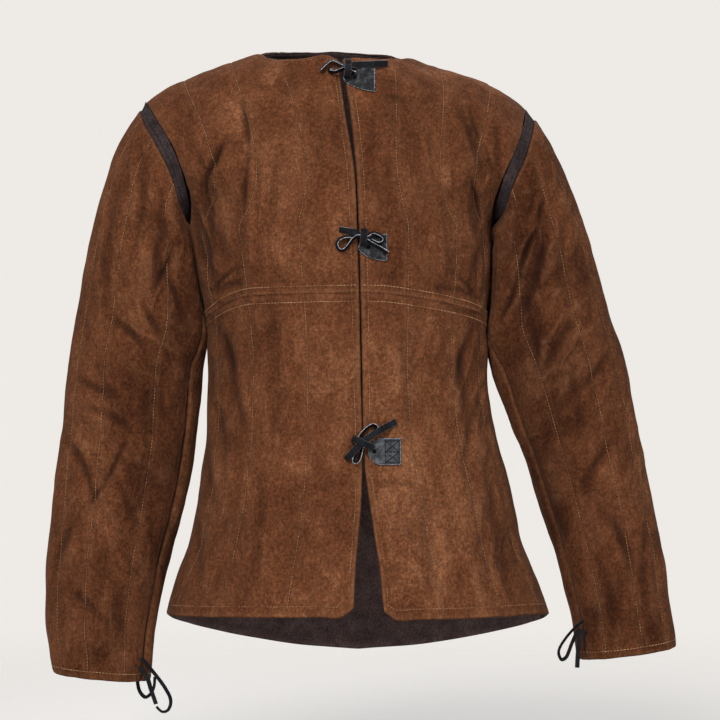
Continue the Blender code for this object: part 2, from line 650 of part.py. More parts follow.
def sleeve_loop(row, angles):
    """Loop of points round a sleeve at one row of its table."""
    outer_x, outer_z, inner_x, inner_z, middle_y, front, back, turn = row
    warped = angles + np.where((angles > 0) & (angles < 148), turn * np.sin(np.pi * angles / 148), 0)
    c = np.cos(np.radians(warped))
    s = np.sin(np.radians(warped))
    reach = power(c, 2 / SLEEVE_POWER)
    depth = np.abs(s) ** (2 / SLEEVE_POWER)
    x = (outer_x + inner_x) / 2 + (outer_x - inner_x) / 2 * reach
    z = (outer_z + inner_z) / 2 + (outer_z - inner_z) / 2 * reach
    y = middle_y - np.where(s > 0, front, -back) * depth
    return np.column_stack((x, y, z))


def clear_of_torso(points, side):
    """Sleeve points kept just outside the torso's side, so that the sleeve lies against it."""
    middle, half, front, back = curve(TORSO, points[:, 2]).T
    depth = np.where(points[:, 1] < 0, front, back)
    share = np.clip(np.abs(points[:, 1]) / depth, 0, 1) ** SECTION_POWER
    limit = side * middle + half * (1 - share) ** (1 / SECTION_POWER) + SLEEVE_CLEARANCE
    pushed = points.copy()
    pushed[:, 0] = side * np.maximum(side * points[:, 0], limit)
    return np.where(points[:, 2:] < CHEST_HEIGHT, pushed, points)


angles, sleeve_dips, seam_column = sleeve_angles()
for side, table in ((-1, SLEEVE_RIGHT), (1, SLEEVE_LEFT)):
    front, back = armhole_edge(side)
    edge = np.array([edge_at(front, a / 180) if 0 <= a <= 180 else edge_at(back, abs((a + 180) % 360 - 180) / 180)
                     for a in angles])
    start = edge[:, :3] + edge[:, 6:] * SEAM_GAP
    start_normal = edge[:, 3:6]
    loops = np.array([clear_of_torso(sleeve_loop(row, angles), side) for row in table])
    reach = np.linalg.norm(loops[0] - start, axis=1, keepdims=True)
    widest = np.interp(angles, *zip(*STRIP_WIDTHS))[:, None]
    loops[0] = start + (loops[0] - start) * np.minimum(1, widest / reach)
    wrapped = np.concatenate((loops[:, -1:], loops, loops[:, :1]), axis=1)
    facing = grid_normals(wrapped, side)[:, 1:-1]
    pressed = fold_depth(loops, facing)
    pressed[0] = 0
    loops = loops - facing * pressed[..., None]
    whole = np.concatenate((start[None], loops))
    wrapped = np.concatenate((whole[:, -1:], whole, whole[:, :1]), axis=1)
    normal = grid_normals(wrapped, side)[:, 1:-1]
    start_normal = start_normal / np.linalg.norm(start_normal, axis=1, keepdims=True)
    hollow = np.sum(normal[0] * edge[:, 6:], axis=1, keepdims=True) < 0
    normal[0] = np.where(hollow, mean_normals(start_normal, normal[0]), start_normal)
    middle = (whole[0] + whole[1]) / 2
    middle_normal = mean_normals(normal[0], normal[1])
    # Canvas strip between the armhole and the sleeve
    low = np.array((whole[0], middle, whole[1]))
    turn = np.array((normal[0], middle_normal, normal[1]))
    way = whole[2] - whole[0]
    way = way / np.linalg.norm(way, axis=1, keepdims=True) * SEAM_GAP
    low[-1] -= way
    outer = low - turn * EDGE_DIP
    inner = low - turn * (EDGE_DIP + STRIP_THICKNESS)
    solid_from_layers("armhole_strip_" + names[side], outer, inner, True, canvas, garment)
    # Sleeve in two pieces, with the forearm's front seam left open as a slit
    rows = len(table)
    dip = np.maximum(sleeve_dips[None, :], np.zeros((rows, 1)))
    dip[0] = 1.6
    dip[-1] = 2.4
    loops[0] += way
    outer = loops - normal[1:] * dip[:, :, None]
    inner = loops - normal[1:] * WALL
    for name, first, last in (("top", 0, seam_column), ("under", seam_column, len(angles))):
        columns = [c % len(angles) for c in range(first, last + 1)]
        layers = []
        for layer in (outer, inner):
            piece = layer[:, columns].copy()
            piece = pull_in(piece, False, False, True, True, SLEEVE_GAP)
            if name == "under":
                for row in range(SLIT_FIRST_ROW, rows):
                    ease = min(1.0, (row - SLIT_FIRST_ROW + 1) / 3)
                    way = piece[row, 1] - piece[row, 0]
                    way = way / np.linalg.norm(way)
                    piece[row, 0] += way * SLIT_WIDTH * ease - normal[row + 1, seam_column] * SLIT_TUCK * ease
            layers.append(piece)
        name = "sleeve_%s_%s" % (name, names[side])
        panels[name] = solid_from_layers(name, layers[0], layers[1], False, suede, garment)


def smooth_path(rows, steps=3):
    """Points of a smooth path through every row."""
    rows = np.array(rows, float)
    ends = np.concatenate((2 * rows[:1] - rows[1:2], rows, 2 * rows[-1:] - rows[-2:-1]))
    points = []
    for i in range(1, len(ends) - 2):
        for step in range(steps):
            s = step / steps
            a, b, c, d = ends[i - 1], ends[i], ends[i + 1], ends[i + 2]
            points.append(0.5 * (2 * b + (c - a) * s + (2 * a - 5 * b + 4 * c - d) * s * s
                                 + (3 * b - a - 3 * c + d) * s ** 3))
    points.append(rows[-1])
    return np.array(points)


def unit(vector):
    return vector / np.linalg.norm(vector)


def ribbon(name, points, sides, width, thickness, material):
    """Flat strap swept along points, with the way its width lies given at each."""
    rings = []
    for i, point in enumerate(points):
        tangent = unit(points[min(i + 1, len(points) - 1)] - points[max(i - 1, 0)])
        wide = unit(sides[i] - tangent * np.dot(sides[i], tangent))
        deep = np.cross(tangent, wide)
        rings.append([point + wide * width / 2 * a + deep * thickness / 2 * b
                      for a, b in ((-1, -1), (1, -1), (1, 1), (-1, 1))])
    corners = np.array(rings).reshape(-1, 3) * MM
    faces = [(0, 1, 2), (0, 2, 3)]
    last = 4 * (len(points) - 1)
    faces.extend(((last, last + 2, last + 1), (last, last + 3, last + 2)))
    for i in range(len(points) - 1):
        for k in range(4):
            a, b = 4 * i + k, 4 * i + (k + 1) % 4
            faces.extend(((a, a + 4, b + 4), (a, b + 4, b)))
    return finish_solid(name, corners, faces, material)


def finish_solid(name, corners, faces, material):
    mesh = bpy.data.meshes.new(name)
    mesh.from_pydata([tuple(p) for p in corners], [], faces)
    mesh.validate()
    if sum(signed_volume(mesh, face) for face in mesh.polygons) < 0:
        mesh.flip_normals()
    mesh.materials.append(material)
    item = bpy.data.objects.new(name, mesh)
    garment.objects.link(item)
    return item


def surface_finder(items):
    """Looks up the outermost point of the given solids, seen from the front, at an x and a z."""
    trees = [BVHTree.FromPolygons([v.co for v in item.data.vertices],
                                  [tuple(f.vertices) for f in item.data.polygons]) for item in items]

    def find(x, z):
        best = None
        for tree in trees:
            spot, normal, index, distance = tree.ray_cast(Vector((x * MM, -0.4, z * MM)), Vector((0, 1, 0)), 0.36)
            if spot is not None and (best is None or spot.y < best):
                best = spot.y
        return None if best is None else best / MM

    return find


def crown(find, x, z, reach, spare):
    """Outermost point of what lies within reach of an x and a z."""
    near = [find(x + i, z + j) for i in (-reach, 0, reach) for j in (-reach, 0, reach)]
    near = [y for y in near if y is not None]
    return min(near) if near else spare


def tab_solid(name, corner, find):
    """Leather tab with a half-round end, an eyelet hole near it, lying on the left front."""
    x0, z0, tilt = corner
    straight = TAB_LENGTH - TAB_HEIGHT * 0.45
    outline = []
    for k in range(24):
        angle = 2 * math.pi * k / 24
        c, s = math.cos(angle), math.sin(angle)
        if c < 0:
            outline.append((-c * -TAB_HEIGHT * 0.45, s * TAB_HEIGHT / 2))
        else:
            reach = min(straight / max(c, 1e-6), TAB_HEIGHT / 2 / max(abs(s), 1e-6))
            outline.append((c * reach, s * reach))
    rings = []
    for share in (0.0, 1.0):
        ring = []
        for k, (u, v) in enumerate(outline):
            angle = 2 * math.pi * k / 24
            hole = (math.cos(angle) * TAB_HOLE / 2, math.sin(angle) * TAB_HOLE / 2)
            ring.append((hole[0] * (1 - share) + u * share, hole[1] * (1 - share) + v * share))
        rings.append(ring)
    middle = find(x0 + 6, z0)
    slope_x = (find(x0 + 16, z0) - find(x0 - 4, z0)) / 20
    slope_z = (find(x0 + 6, z0 - 8) - find(x0 + 6, z0 + 8)) / -16
    lows = []
    highs = []
    for ring in rings:
        for u, v in ring:
            base = crown(find, x0 + u, z0 + v, 4, middle + slope_x * (u - 6) + slope_z * v)
            lows.append((x0 + u, base - SEAM_GAP - 0.25, z0 + v))
            highs.append((x0 + u, base - SEAM_GAP - 0.25 - TAB_THICKNESS, z0 + v))
    count = 24
    corners = np.array(lows + highs) * MM
    faces = []
    shift = 2 * count
    for k in range(count):
        n = (k + 1) % count
        a, b, c, d = k, n, count + n, count + k
        faces.extend(((a, c, b), (a, d, c)))
        faces.extend(((shift + a, shift + b, shift + c), (shift + a, shift + c, shift + d)))
        faces.extend(((a, b, shift + b), (a, shift + b, shift + a)))
        faces.extend(((d, shift + c, c), (d, shift + d, shift + c)))
    return finish_solid(name, corners, faces, leather)


def mesh_points(item, spacing=2.5):
    """Points along every edge of a solid."""
    points = []
    for edge in item.data.edges:
        a, b = (item.data.vertices[i].co for i in edge.vertices)
        steps = max(1, int((b - a).length / MM / spacing))
        points.extend(a.lerp(b, step / steps) for step in range(steps + 1))
    return points


def mesh_tree(item):
    return BVHTree.FromPolygons([v.co for v in item.data.vertices],
                                [tuple(f.vertices) for f in item.data.polygons])


def seat(item, carriers, rounds=3):
    """Moves a small piece straight to what carries it, until it lies a seam's gap away."""
    trees = [(carrier, mesh_tree(carrier)) for carrier in carriers]
    for turn in range(rounds):
        own_tree = mesh_tree(item)
        own_points = mesh_points(item)
        best = None
        for carrier, tree in trees:
            for point in own_points:
                spot, normal, index, distance = tree.find_nearest(point)
                if best is None or distance < best[0]:
                    best = (distance, spot - point)
            for point in mesh_points(carrier):
                spot, normal, index, distance = own_tree.find_nearest(point, best[0])
                if spot is not None and distance < best[0]:
                    best = (distance, point - spot)
        if best[0] < SEAM_GAP * MM * 1.15:
            break
        item.data.transform(Matrix.Translation(best[1] * (1 - SEAM_GAP * MM / best[0])))
    item.data.update()


# Ties down the front: a tab on the left front, a thong from each front and the turn that binds them
fronts = [panels[name] for name in sorted(panels) if name.startswith("front")]
for place, tie in TIES.items():
    knot_x, knot_z = tie["knot"]
    find = surface_finder(fronts)
    tab = tab_solid("tie_%s_tab" % place, tie["tab"], find)
    seat(tab, fronts)
    carriers = fronts + [tab]
    find = surface_finder(fronts + [tab])
    spare = find(knot_x + 3, knot_z - 6)
    outward = np.array((0.0, -1.0, 0.0))
    for name in [key for key in tie if key.startswith("thong")]:
        rows = smooth_path(tie[name], 2)
        points = np.array([(knot_x + x, crown(find, knot_x + x, knot_z + z, 4.5, spare) - lift, knot_z + z)
                           for x, z, lift, roll in rows])
        points[1:-1, 1] = (points[:-2, 1] + 2 * points[1:-1, 1] + points[2:, 1]) / 4
        sides = []
        for i, row in enumerate(rows):
            tangent = unit(points[min(i + 1, len(points) - 1)] - points[max(i - 1, 0)])
            flat = unit(np.cross(tangent, outward))
            roll = math.radians(row[3])
            sides.append(flat * math.cos(roll) + outward * math.sin(roll))
        thong = ribbon("tie_%s_%s" % (place, name), points, sides, THONG_WIDTH, THONG_THICKNESS, leather)
        seat(thong, carriers)
        carriers.append(thong)
    rows = smooth_path(tie["wrap"], 2)
    points = np.array([(knot_x + x, crown(find, knot_x + x, knot_z + z, 4.5, spare) - lift, knot_z + z)
                       for x, z, lift in rows])
    side_way = np.array((tie["wrap_side"][0], 0.0, tie["wrap_side"][1]))
    wrap = ribbon("tie_%s_wrap" % place, points, [side_way] * len(points), THONG_WIDTH, THONG_THICKNESS,
                  leather)
    seat(wrap, carriers)

# Cuff ties
for name, rows in CUFF_TIES.items():
    rows = smooth_path(rows, 2)
    points = rows[:, :3]
    sides = []
    for i, row in enumerate(rows):
        tangent = unit(points[min(i + 1, len(points) - 1)] - points[max(i - 1, 0)])
        flat = unit(np.cross(tangent, (0.0, -1.0, 0.0)))
        roll = math.radians(row[3])
        sides.append(flat * math.cos(roll) + np.array((0.0, -1.0, 0.0)) * math.sin(roll))
    thong = ribbon(name, points, sides, THONG_WIDTH * 0.7, THONG_THICKNESS, leather)
    sleeve_side = "right" if name.startswith("cuff_tie_right") else "left"
    seat(thong, [panels["sleeve_top_" + sleeve_side], panels["sleeve_under_" + sleeve_side]])
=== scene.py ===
"""A suede gambeson, filled out as on a wearer with nobody inside. The wearer's right is at -X and the
front faces -Y. Every cut piece takes its form from its own solid in the frame."""
import bmesh
import bpy
import math
import numpy as np
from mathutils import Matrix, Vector, noise
from mathutils.bvhtree import BVHTree


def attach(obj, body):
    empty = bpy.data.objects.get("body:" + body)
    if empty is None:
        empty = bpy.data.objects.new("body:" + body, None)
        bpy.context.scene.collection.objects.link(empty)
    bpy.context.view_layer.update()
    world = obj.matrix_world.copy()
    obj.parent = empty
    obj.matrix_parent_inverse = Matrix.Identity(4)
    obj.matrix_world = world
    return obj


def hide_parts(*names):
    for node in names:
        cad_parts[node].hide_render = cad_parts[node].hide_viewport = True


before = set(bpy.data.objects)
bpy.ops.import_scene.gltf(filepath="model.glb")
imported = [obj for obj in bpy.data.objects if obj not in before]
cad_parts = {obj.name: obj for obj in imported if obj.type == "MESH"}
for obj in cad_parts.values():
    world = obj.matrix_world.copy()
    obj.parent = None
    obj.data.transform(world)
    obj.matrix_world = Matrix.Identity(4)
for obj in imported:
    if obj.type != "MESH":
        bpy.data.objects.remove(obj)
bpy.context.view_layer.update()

# Fronts and back, each cut across at the waist. They are of split suede with a brushed nap, mottled
# red-brown, over a thin filling: sewn through in upright channels, turned in along every edge and joined
# at the shoulders, the sides and the waist.

MM = 0.001


def feed(tree, socket, value):
    """Links an output to an input, or sets the input to a number or a colour."""
    if isinstance(value, bpy.types.NodeSocket):
        tree.links.new(value, socket)
    elif socket.type == "RGBA":
        socket.default_value = (*value, 1.0)
    else:
        socket.default_value = value


def add_node(tree, kind, **values):
    """Adds a node; values name its own settings, or its inputs by label."""
    item = tree.nodes.new(kind)
    for name, value in values.items():
        if hasattr(item, name):
            setattr(item, name, value)
        else:
            feed(tree, item.inputs[name.replace("_", " ")], value)
    return item


def mix_colour(tree, factor, first, second, blend="MIX"):
    item = add_node(tree, "ShaderNodeMix", data_type="RGBA", blend_type=blend)
    for place, value in ((0, factor), (6, first), (7, second)):
        feed(tree, item.inputs[place], value)
    return item.outputs[2]


def calculate(tree, operation, first, second=0.0, clamp=False):
    item = add_node(tree, "ShaderNodeMath", operation=operation, use_clamp=clamp)
    feed(tree, item.inputs[0], first)
    feed(tree, item.inputs[1], second)
    return item.outputs[0]


def ramp(tree, value, stops):
    item = tree.nodes.new("ShaderNodeValToRGB")
    tree.links.new(value, item.inputs[0])
    points = item.color_ramp.elements
    while len(points) < len(stops):
        points.new(0.5)
    for point, (place, colour) in zip(points, stops):
        point.position = place
        point.color = (*colour, 1.0)
    return item.outputs[0]


def effect(name, inputs, output, kind):
    """An empty group of shader nodes with named inputs and one named output."""
    group = bpy.data.node_groups.new(name, "ShaderNodeTree")
    for label, sort in inputs.items():
        group.interface.new_socket(label, in_out="INPUT", socket_type="NodeSocket" + sort)
    group.interface.new_socket(output, in_out="OUTPUT", socket_type="NodeSocket" + kind)
    return group, group.nodes.new("NodeGroupInput").outputs, group.nodes.new("NodeGroupOutput").inputs[0]


def grain_effect():
    """Noise in the piece's own space; a stretch below 1 draws it out along that axis."""
    inputs = {"Scale": "Float", "Stretch": "Vector", "Detail": "Float", "Roughness": "Float",
              "Twist": "Float"}
    group, given, result = effect("grain", inputs, "Height", "Float")
    place = add_node(group, "ShaderNodeTexCoord").outputs["Object"]
    spread = add_node(group, "ShaderNodeMapping", Vector=place, Scale=given["Stretch"])
    speckle = add_node(group, "ShaderNodeTexNoise", Vector=spread.outputs[0], Scale=given["Scale"],
                       Detail=given["Detail"], Roughness=given["Roughness"], Distortion=given["Twist"])
    feed(group, result, speckle.outputs[0])
    return group


grain_group = grain_effect()


def grain(tree, scale, stretch=(1, 1, 1), detail=5.0, rough=0.6, twist=0.0):
    return add_node(tree, "ShaderNodeGroup", node_tree=grain_group, Scale=scale, Stretch=stretch,
                    Detail=detail, Roughness=rough, Twist=twist).outputs[0]


def stored(tree, name):
    item = tree.nodes.new("ShaderNodeAttribute")
    item.attribute_name = name
    return item.outputs["Fac"]


def ridged(tree, scale, stretch, twist):
    """Noise that rises to thin crisp ridges, as small wrinkles in hide do."""
    place = add_node(tree, "ShaderNodeTexCoord").outputs["Object"]
    spread = add_node(tree, "ShaderNodeMapping", Vector=place, Scale=stretch)
    return add_node(tree, "ShaderNodeTexNoise", noise_type="RIDGED_MULTIFRACTAL", normalize=False,
                    Vector=spread.outputs[0], Scale=scale, Detail=2.0, Roughness=0.45, Offset=0.9,
                    Gain=1.6, Distortion=twist).outputs[0]


def plain_finish(name, roughness, gloss):
    """A new material of an even roughness and gloss, with its nodes and its shader."""
    material = bpy.data.materials.new(name)
    material.use_nodes = True
    shader = material.node_tree.nodes["Principled BSDF"]
    shader.inputs["Roughness"].default_value = roughness
    shader.inputs["Specular IOR Level"].default_value = gloss
    return material, material.node_tree, shader


def roughen(tree, shader, *layers):
    """Raises a surface by layers of height, each with its strength and its depth in metres."""
    normal = None
    for height, strength, depth in layers:
        bump = add_node(tree, "ShaderNodeBump", Height=height, Strength=strength, Distance=depth)
        if normal:
            feed(tree, bump.inputs["Normal"], normal)
        normal = bump.outputs[0]
    feed(tree, shader.inputs["Normal"], normal)


def suede_material():
    """Mottled hide, paler where edges and ridges are rubbed, with painted shade darkening it down in folds
    and quilting; the inside shows its canvas lining, with painted shade darkening it higher up."""
    material, tree, shader = plain_finish("suede", 0.97, 0.06)
    patches = grain(tree, 9.0, (1, 1, 0.7), detail=4.0, rough=0.6, twist=0.9)
    streaks = grain(tree, 36.0, (1, 1, 0.42), detail=5.0, rough=0.62, twist=0.6)
    blotches = grain(tree, 130.0, detail=5.0, rough=0.68, twist=0.3)
    nap = grain(tree, 330.0, (1, 1, 0.85), detail=4.0, rough=0.75)
    fibres = grain(tree, 900.0, (1, 1, 0.7), detail=3.0, rough=0.7)
    tone = 0.08
    # The stored tone brings in the nap's broad tones and the painted shade on the sleeves' inner sides
    for layer, weight in ((patches, 0.30), (streaks, 0.34), (blotches, 0.20), (stored(tree, "tone"), 0.05)):
        tone = calculate(tree, "ADD", calculate(tree, "MULTIPLY", layer, weight), tone)
    colour = ramp(tree, tone, ((0.26, (0.019, 0.0056, 0.0024)), (0.38, (0.046, 0.0143, 0.0056)),
                               (0.47, (0.082, 0.0275, 0.0110)), (0.54, (0.110, 0.0385, 0.0158)),
                               (0.66, (0.196, 0.0800, 0.0360))))
    brushed = ramp(tree, nap, ((0.32, (0.42, 0.40, 0.38)), (0.50, (0.97, 0.97, 0.97)),
                               (0.68, (1.80, 1.83, 1.86))))
    colour = mix_colour(tree, 0.85, colour, brushed, "MULTIPLY")
    wrinkles = ridged(tree, 26.0, (1, 1, 0.5), 1.4)
    crumpled = calculate(tree, "ADD", calculate(tree, "MULTIPLY", stored(tree, "crumpled"), 0.9), 0.25)
    crests = calculate(tree, "MULTIPLY", calculate(tree, "SUBTRACT", wrinkles, 1.0, True), 1.9, True)
    crests = calculate(tree, "MULTIPLY", crests, calculate(tree, "SUBTRACT", blotches, 0.22, True), True)
    crests = calculate(tree, "MULTIPLY", crests, crumpled, True)
    colour = mix_colour(tree, crests, colour, (0.215, 0.098, 0.050))
    uneven = calculate(tree, "ADD", calculate(tree, "MULTIPLY", blotches, 1.6), -0.25, True)
    rubbed = calculate(tree, "MULTIPLY", stored(tree, "rubbed"), uneven, True)
    colour = mix_colour(tree, rubbed, colour, (0.25, 0.115, 0.058))
    # Painted shade: near-black down in creases, crumples, quilting lines, turned edges and the gaps at the
    # edges, where marked sunk
    sunk = calculate(tree, "MULTIPLY", stored(tree, "sunk"), 0.9, True)
    colour = mix_colour(tree, sunk, colour, (0.018, 0.0065, 0.0035))
    threads = ramp(tree, fibres, ((0.35, (0.030, 0.020, 0.019)), (0.65, (0.074, 0.052, 0.050))))
    colour = mix_colour(tree, stored(tree, "lined"), colour, threads)
    # Painted shade on the lining inside the garment, darkest above the waist
    lining_shade = calculate(tree, "MULTIPLY", stored(tree, "lined"), stored(tree, "sunk"), True)
    colour = mix_colour(tree, lining_shade, colour, (0.0022, 0.0018, 0.0018))
    feed(tree, shader.inputs["Base Color"], colour)
    shader.inputs["Sheen Weight"].default_value = 0.05
    shader.inputs["Sheen Roughness"].default_value = 0.5
    shader.inputs["Sheen Tint"].default_value = (0.95, 0.60, 0.40, 1.0)
    roughen(tree, shader, (nap, 0.8, 0.0010), (blotches, 0.6, 0.0022), (wrinkles, crumpled, 0.0026),
            (streaks, 0.5, 0.008))
    return material


suede = suede_material()

# The distance between fine points along each kind of piece, in millimetres
CLOTH_STEP = 2.8
BACK_STEP = 3.9
UNDER_STEP = 3.6
# How far an edge's turn stands out, how far in from it the fine points lie, and where its roundness ends
EDGE_ROLL = 0.12
EDGE_PLACES = (0.4, 1.0, 1.9, 3.1, 4.8)
EDGE_REACH = 4.6
# How an edge goes through the wall: share of the way, how far out, whether it shows the lining
EDGE_TURNS = ((0.2, 0.75, 0.0), (0.5, 1.0, 0.0), (0.62, 0.95, 1.0), (0.8, 0.75, 1.0))
# How much painted shade darkens the rings round a turned edge, for the gap beside it
EDGE_PAINTED_SHADE = 0.75
# How far apart two corners of a solid may lie and still be one, and how far a skin bends at most
# from one face to the next
WELD = 1e-5
SHARPEST_BEND = math.radians(40)


def skins(node):
    """The outer and inner faces of a cut piece's wall, told apart where the wall turns over its edge."""
    wall = bmesh.new()
    wall.from_mesh(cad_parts[node].data)
    bmesh.ops.remove_doubles(wall, verts=wall.verts, dist=WELD)
    wall.normal_update()
    wall.verts.index_update()
    left = set(wall.faces)
    patches = []
    while left:
        patch = {left.pop()}
        front = list(patch)
        while front:
            for edge in front.pop().edges:
                if edge.calc_face_angle(math.tau) < SHARPEST_BEND:
                    near = [face for face in edge.link_faces if face in left]
                    left.difference_update(near)
                    patch.update(near)
                    front.extend(near)
        patches.append(patch)
    patches.sort(key=len)
    pure = patches[-2]
    touched = {corner for face in pure for corner in face.verts}
    other = [face for face in wall.faces if not touched.intersection(face.verts)]
    both = sorted((pure, other), key=lambda patch: -sum(face.calc_area() for face in patch))
    points = np.array([corner.co for corner in wall.verts]) / MM
    return [(points, [tuple(corner.index for corner in face.verts) for face in patch]) for patch in both]


def grid_of(points, faces, first_row="bottom"):
    """Rows and columns of one skin's points, in millimetres, walked from triangle to triangle."""
    third = {}
    links = {}
    for a, b, c in faces:
        for p, q, r in ((a, b, c), (b, c, a), (c, a, b)):
            third[p, q] = r
            links.setdefault(p, set()).add(q)
            links.setdefault(q, set()).add(p)
    rim = {p: q for p, q in third if (q, p) not in third}
    sign = -1 if first_row == "top" else 1
    if first_row == "ring":
        start = max(rim, key=lambda corner: points[corner][2])
    else:
        ends = [corner for corner in rim if len(links[corner]) == 3]
        start = min(ends, key=lambda corner: sign * points[corner][2])
    loop = [start]
    while rim[loop[-1]] != start:
        loop.append(rim[loop[-1]])
    if first_row == "ring":
        if points[loop[1]][1] > points[loop[-1]][1]:
            loop = loop[:1] + loop[:0:-1]
        row = loop + loop[:1]
    else:
        ends = [i for i, corner in enumerate(loop) if len(links[corner]) == 2]
        ways = (loop[:ends[0] + 1], loop[:1] + loop[:ends[1] - 1:-1])
        row = min(ways, key=lambda way: abs(points[way[-1]][2] - points[start][2]))
    forward = (row[0], row[1]) in third
    rows = [row]
    while True:
        pairs = [(a, b) if forward else (b, a) for a, b in zip(rows[-1], rows[-1][1:])]
        if pairs[0] not in third:
            break
        up = [third[pair] for pair in pairs]
        if first_row == "ring":
            up = up[-1:] + up
        else:
            first = (rows[-1][0], up[0]) if forward else (up[0], rows[-1][0])
            up = [third[first]] + up
        rows.append(up)
    return points[np.array(rows)]


def finer(grid, axis, places):
    """A smooth surface through a grid's points, at the given places along one axis."""
    grid = np.moveaxis(grid, axis, 0)
    gaps = np.linalg.norm(np.diff(grid, axis=0), axis=-1).mean(axis=1)
    knots = np.concatenate(([0.0], np.cumsum(gaps)))
    slope = np.gradient(grid, knots, axis=0)
    cell = np.clip(places.astype(int), 0, len(grid) - 2)
    t = (places - cell)[:, None, None]
    gap = gaps[cell][:, None, None]
    points = ((1 + 2 * t) * (1 - t) ** 2 * grid[cell] + t * (1 - t) ** 2 * gap * slope[cell]
              + t * t * (3 - 2 * t) * grid[cell + 1] + t * t * (t - 1) * gap * slope[cell + 1])
    return np.moveaxis(points, 0, axis)


def places_along(grid, axis, step, lines=(), turned=False):
    """Fine places along one axis of a grid, closer together beside the quilting lines and, where the
    cloth is turned in, beside its ends."""
    gaps = np.linalg.norm(np.diff(np.moveaxis(grid, axis, 0), axis=0), axis=-1).mean(axis=1)
    places = []
    for i, gap in enumerate(gaps):
        share = np.arange(max(2, math.ceil(gap / step))) / max(2, math.ceil(gap / step))
        if i in lines:
            share = share ** 1.5
        elif i + 1 in lines:
            share = 1 - (1 - share) ** 1.5
            share = np.concatenate(([0.0], share[1:]))
        places.extend(i + share)
    places = np.array(places + [len(gaps)])
    if turned:
        near = np.array(EDGE_PLACES)
        low, high = near / gaps[0], len(gaps) - near[::-1] / gaps[-1]
        middle = places[(places > low[-1] + 0.6 / gaps[0]) & (places < high[0] - 0.6 / gaps[-1])]
        places = np.concatenate(([0.0], low, middle, high, [len(gaps)]))
    return places


def normals_of(grid, outside):
    """Unit normals of a grid that point the same way as the given rough directions."""
    normal = np.cross(np.gradient(grid, axis=1), np.gradient(grid, axis=0))
    normal /= np.maximum(np.linalg.norm(normal, axis=-1, keepdims=True), 1e-9)
    return normal * np.where((normal * outside).sum() < 0, -1, 1)


# Broad areas where the nap lies lighter or darker, and painted shade on the sleeves' inner sides beside the
# body: front (-1) or back (+1), x and z of the middle, half width, half height, amount
NAP_TONES_AND_PAINTED_SHADE = (
    (-1, 0, -110, 190, 110, -0.35),
    (-1, -115, -85, 30, 50, 0.7),
    (-1, -25, -150, 45, 70, 0.1),
    (-1, -70, -280, 90, 45, 0.35),
    (-1, 0, -390, 40, 50, 0.9),
    (-1, 75, -400, 45, 60, 0.7),
    (-1, 110, -540, 70, 120, 1.7),
    (-1, 60, -180, 40, 60, -0.3),
    (-1, 145, -150, 22, 90, 0.4),
    (-1, 185, -110, 25, 60, -0.6),
    (-1, 172, -250, 20, 90, -0.5),
    (-1, -150, -200, 24, 110, -0.9),
    (-1, -150, -420, 22, 70, -0.2),
    (-1, -70, -600, 90, 60, -0.1),
    (-1, 60, -690, 260, 22, -0.9),
    (-1, -205, -250, 35, 110, -0.3),
    (-1, -230, -480, 50, 150, -0.4),
    (-1, -300, -480, 40, 120, 0.2),
    (-1, -205, -540, 48, 150, -2.2),
    (-1, -280, -700, 80, 70, -0.5),
    (-1, 228, -300, 30, 120, -2.4),
    (-1, 262, -500, 38, 140, -3.0),
    (-1, 300, -400, 60, 150, -0.3),
    (-1, 330, -600, 40, 130, -0.6),
    (-1, 400, -600, 30, 90, 0.4),
    (-1, 350, -710, 90, 50, -0.9),
    (1, 0, -200, 120, 90, 0.3),
    (1, -60, -560, 90, 80, 0.5),
    (1, 120, -480, 60, 90, -0.3),
    (1, -250, -300, 40, 120, -0.4),
    (1, 260, -420, 40, 120, 0.3),
)
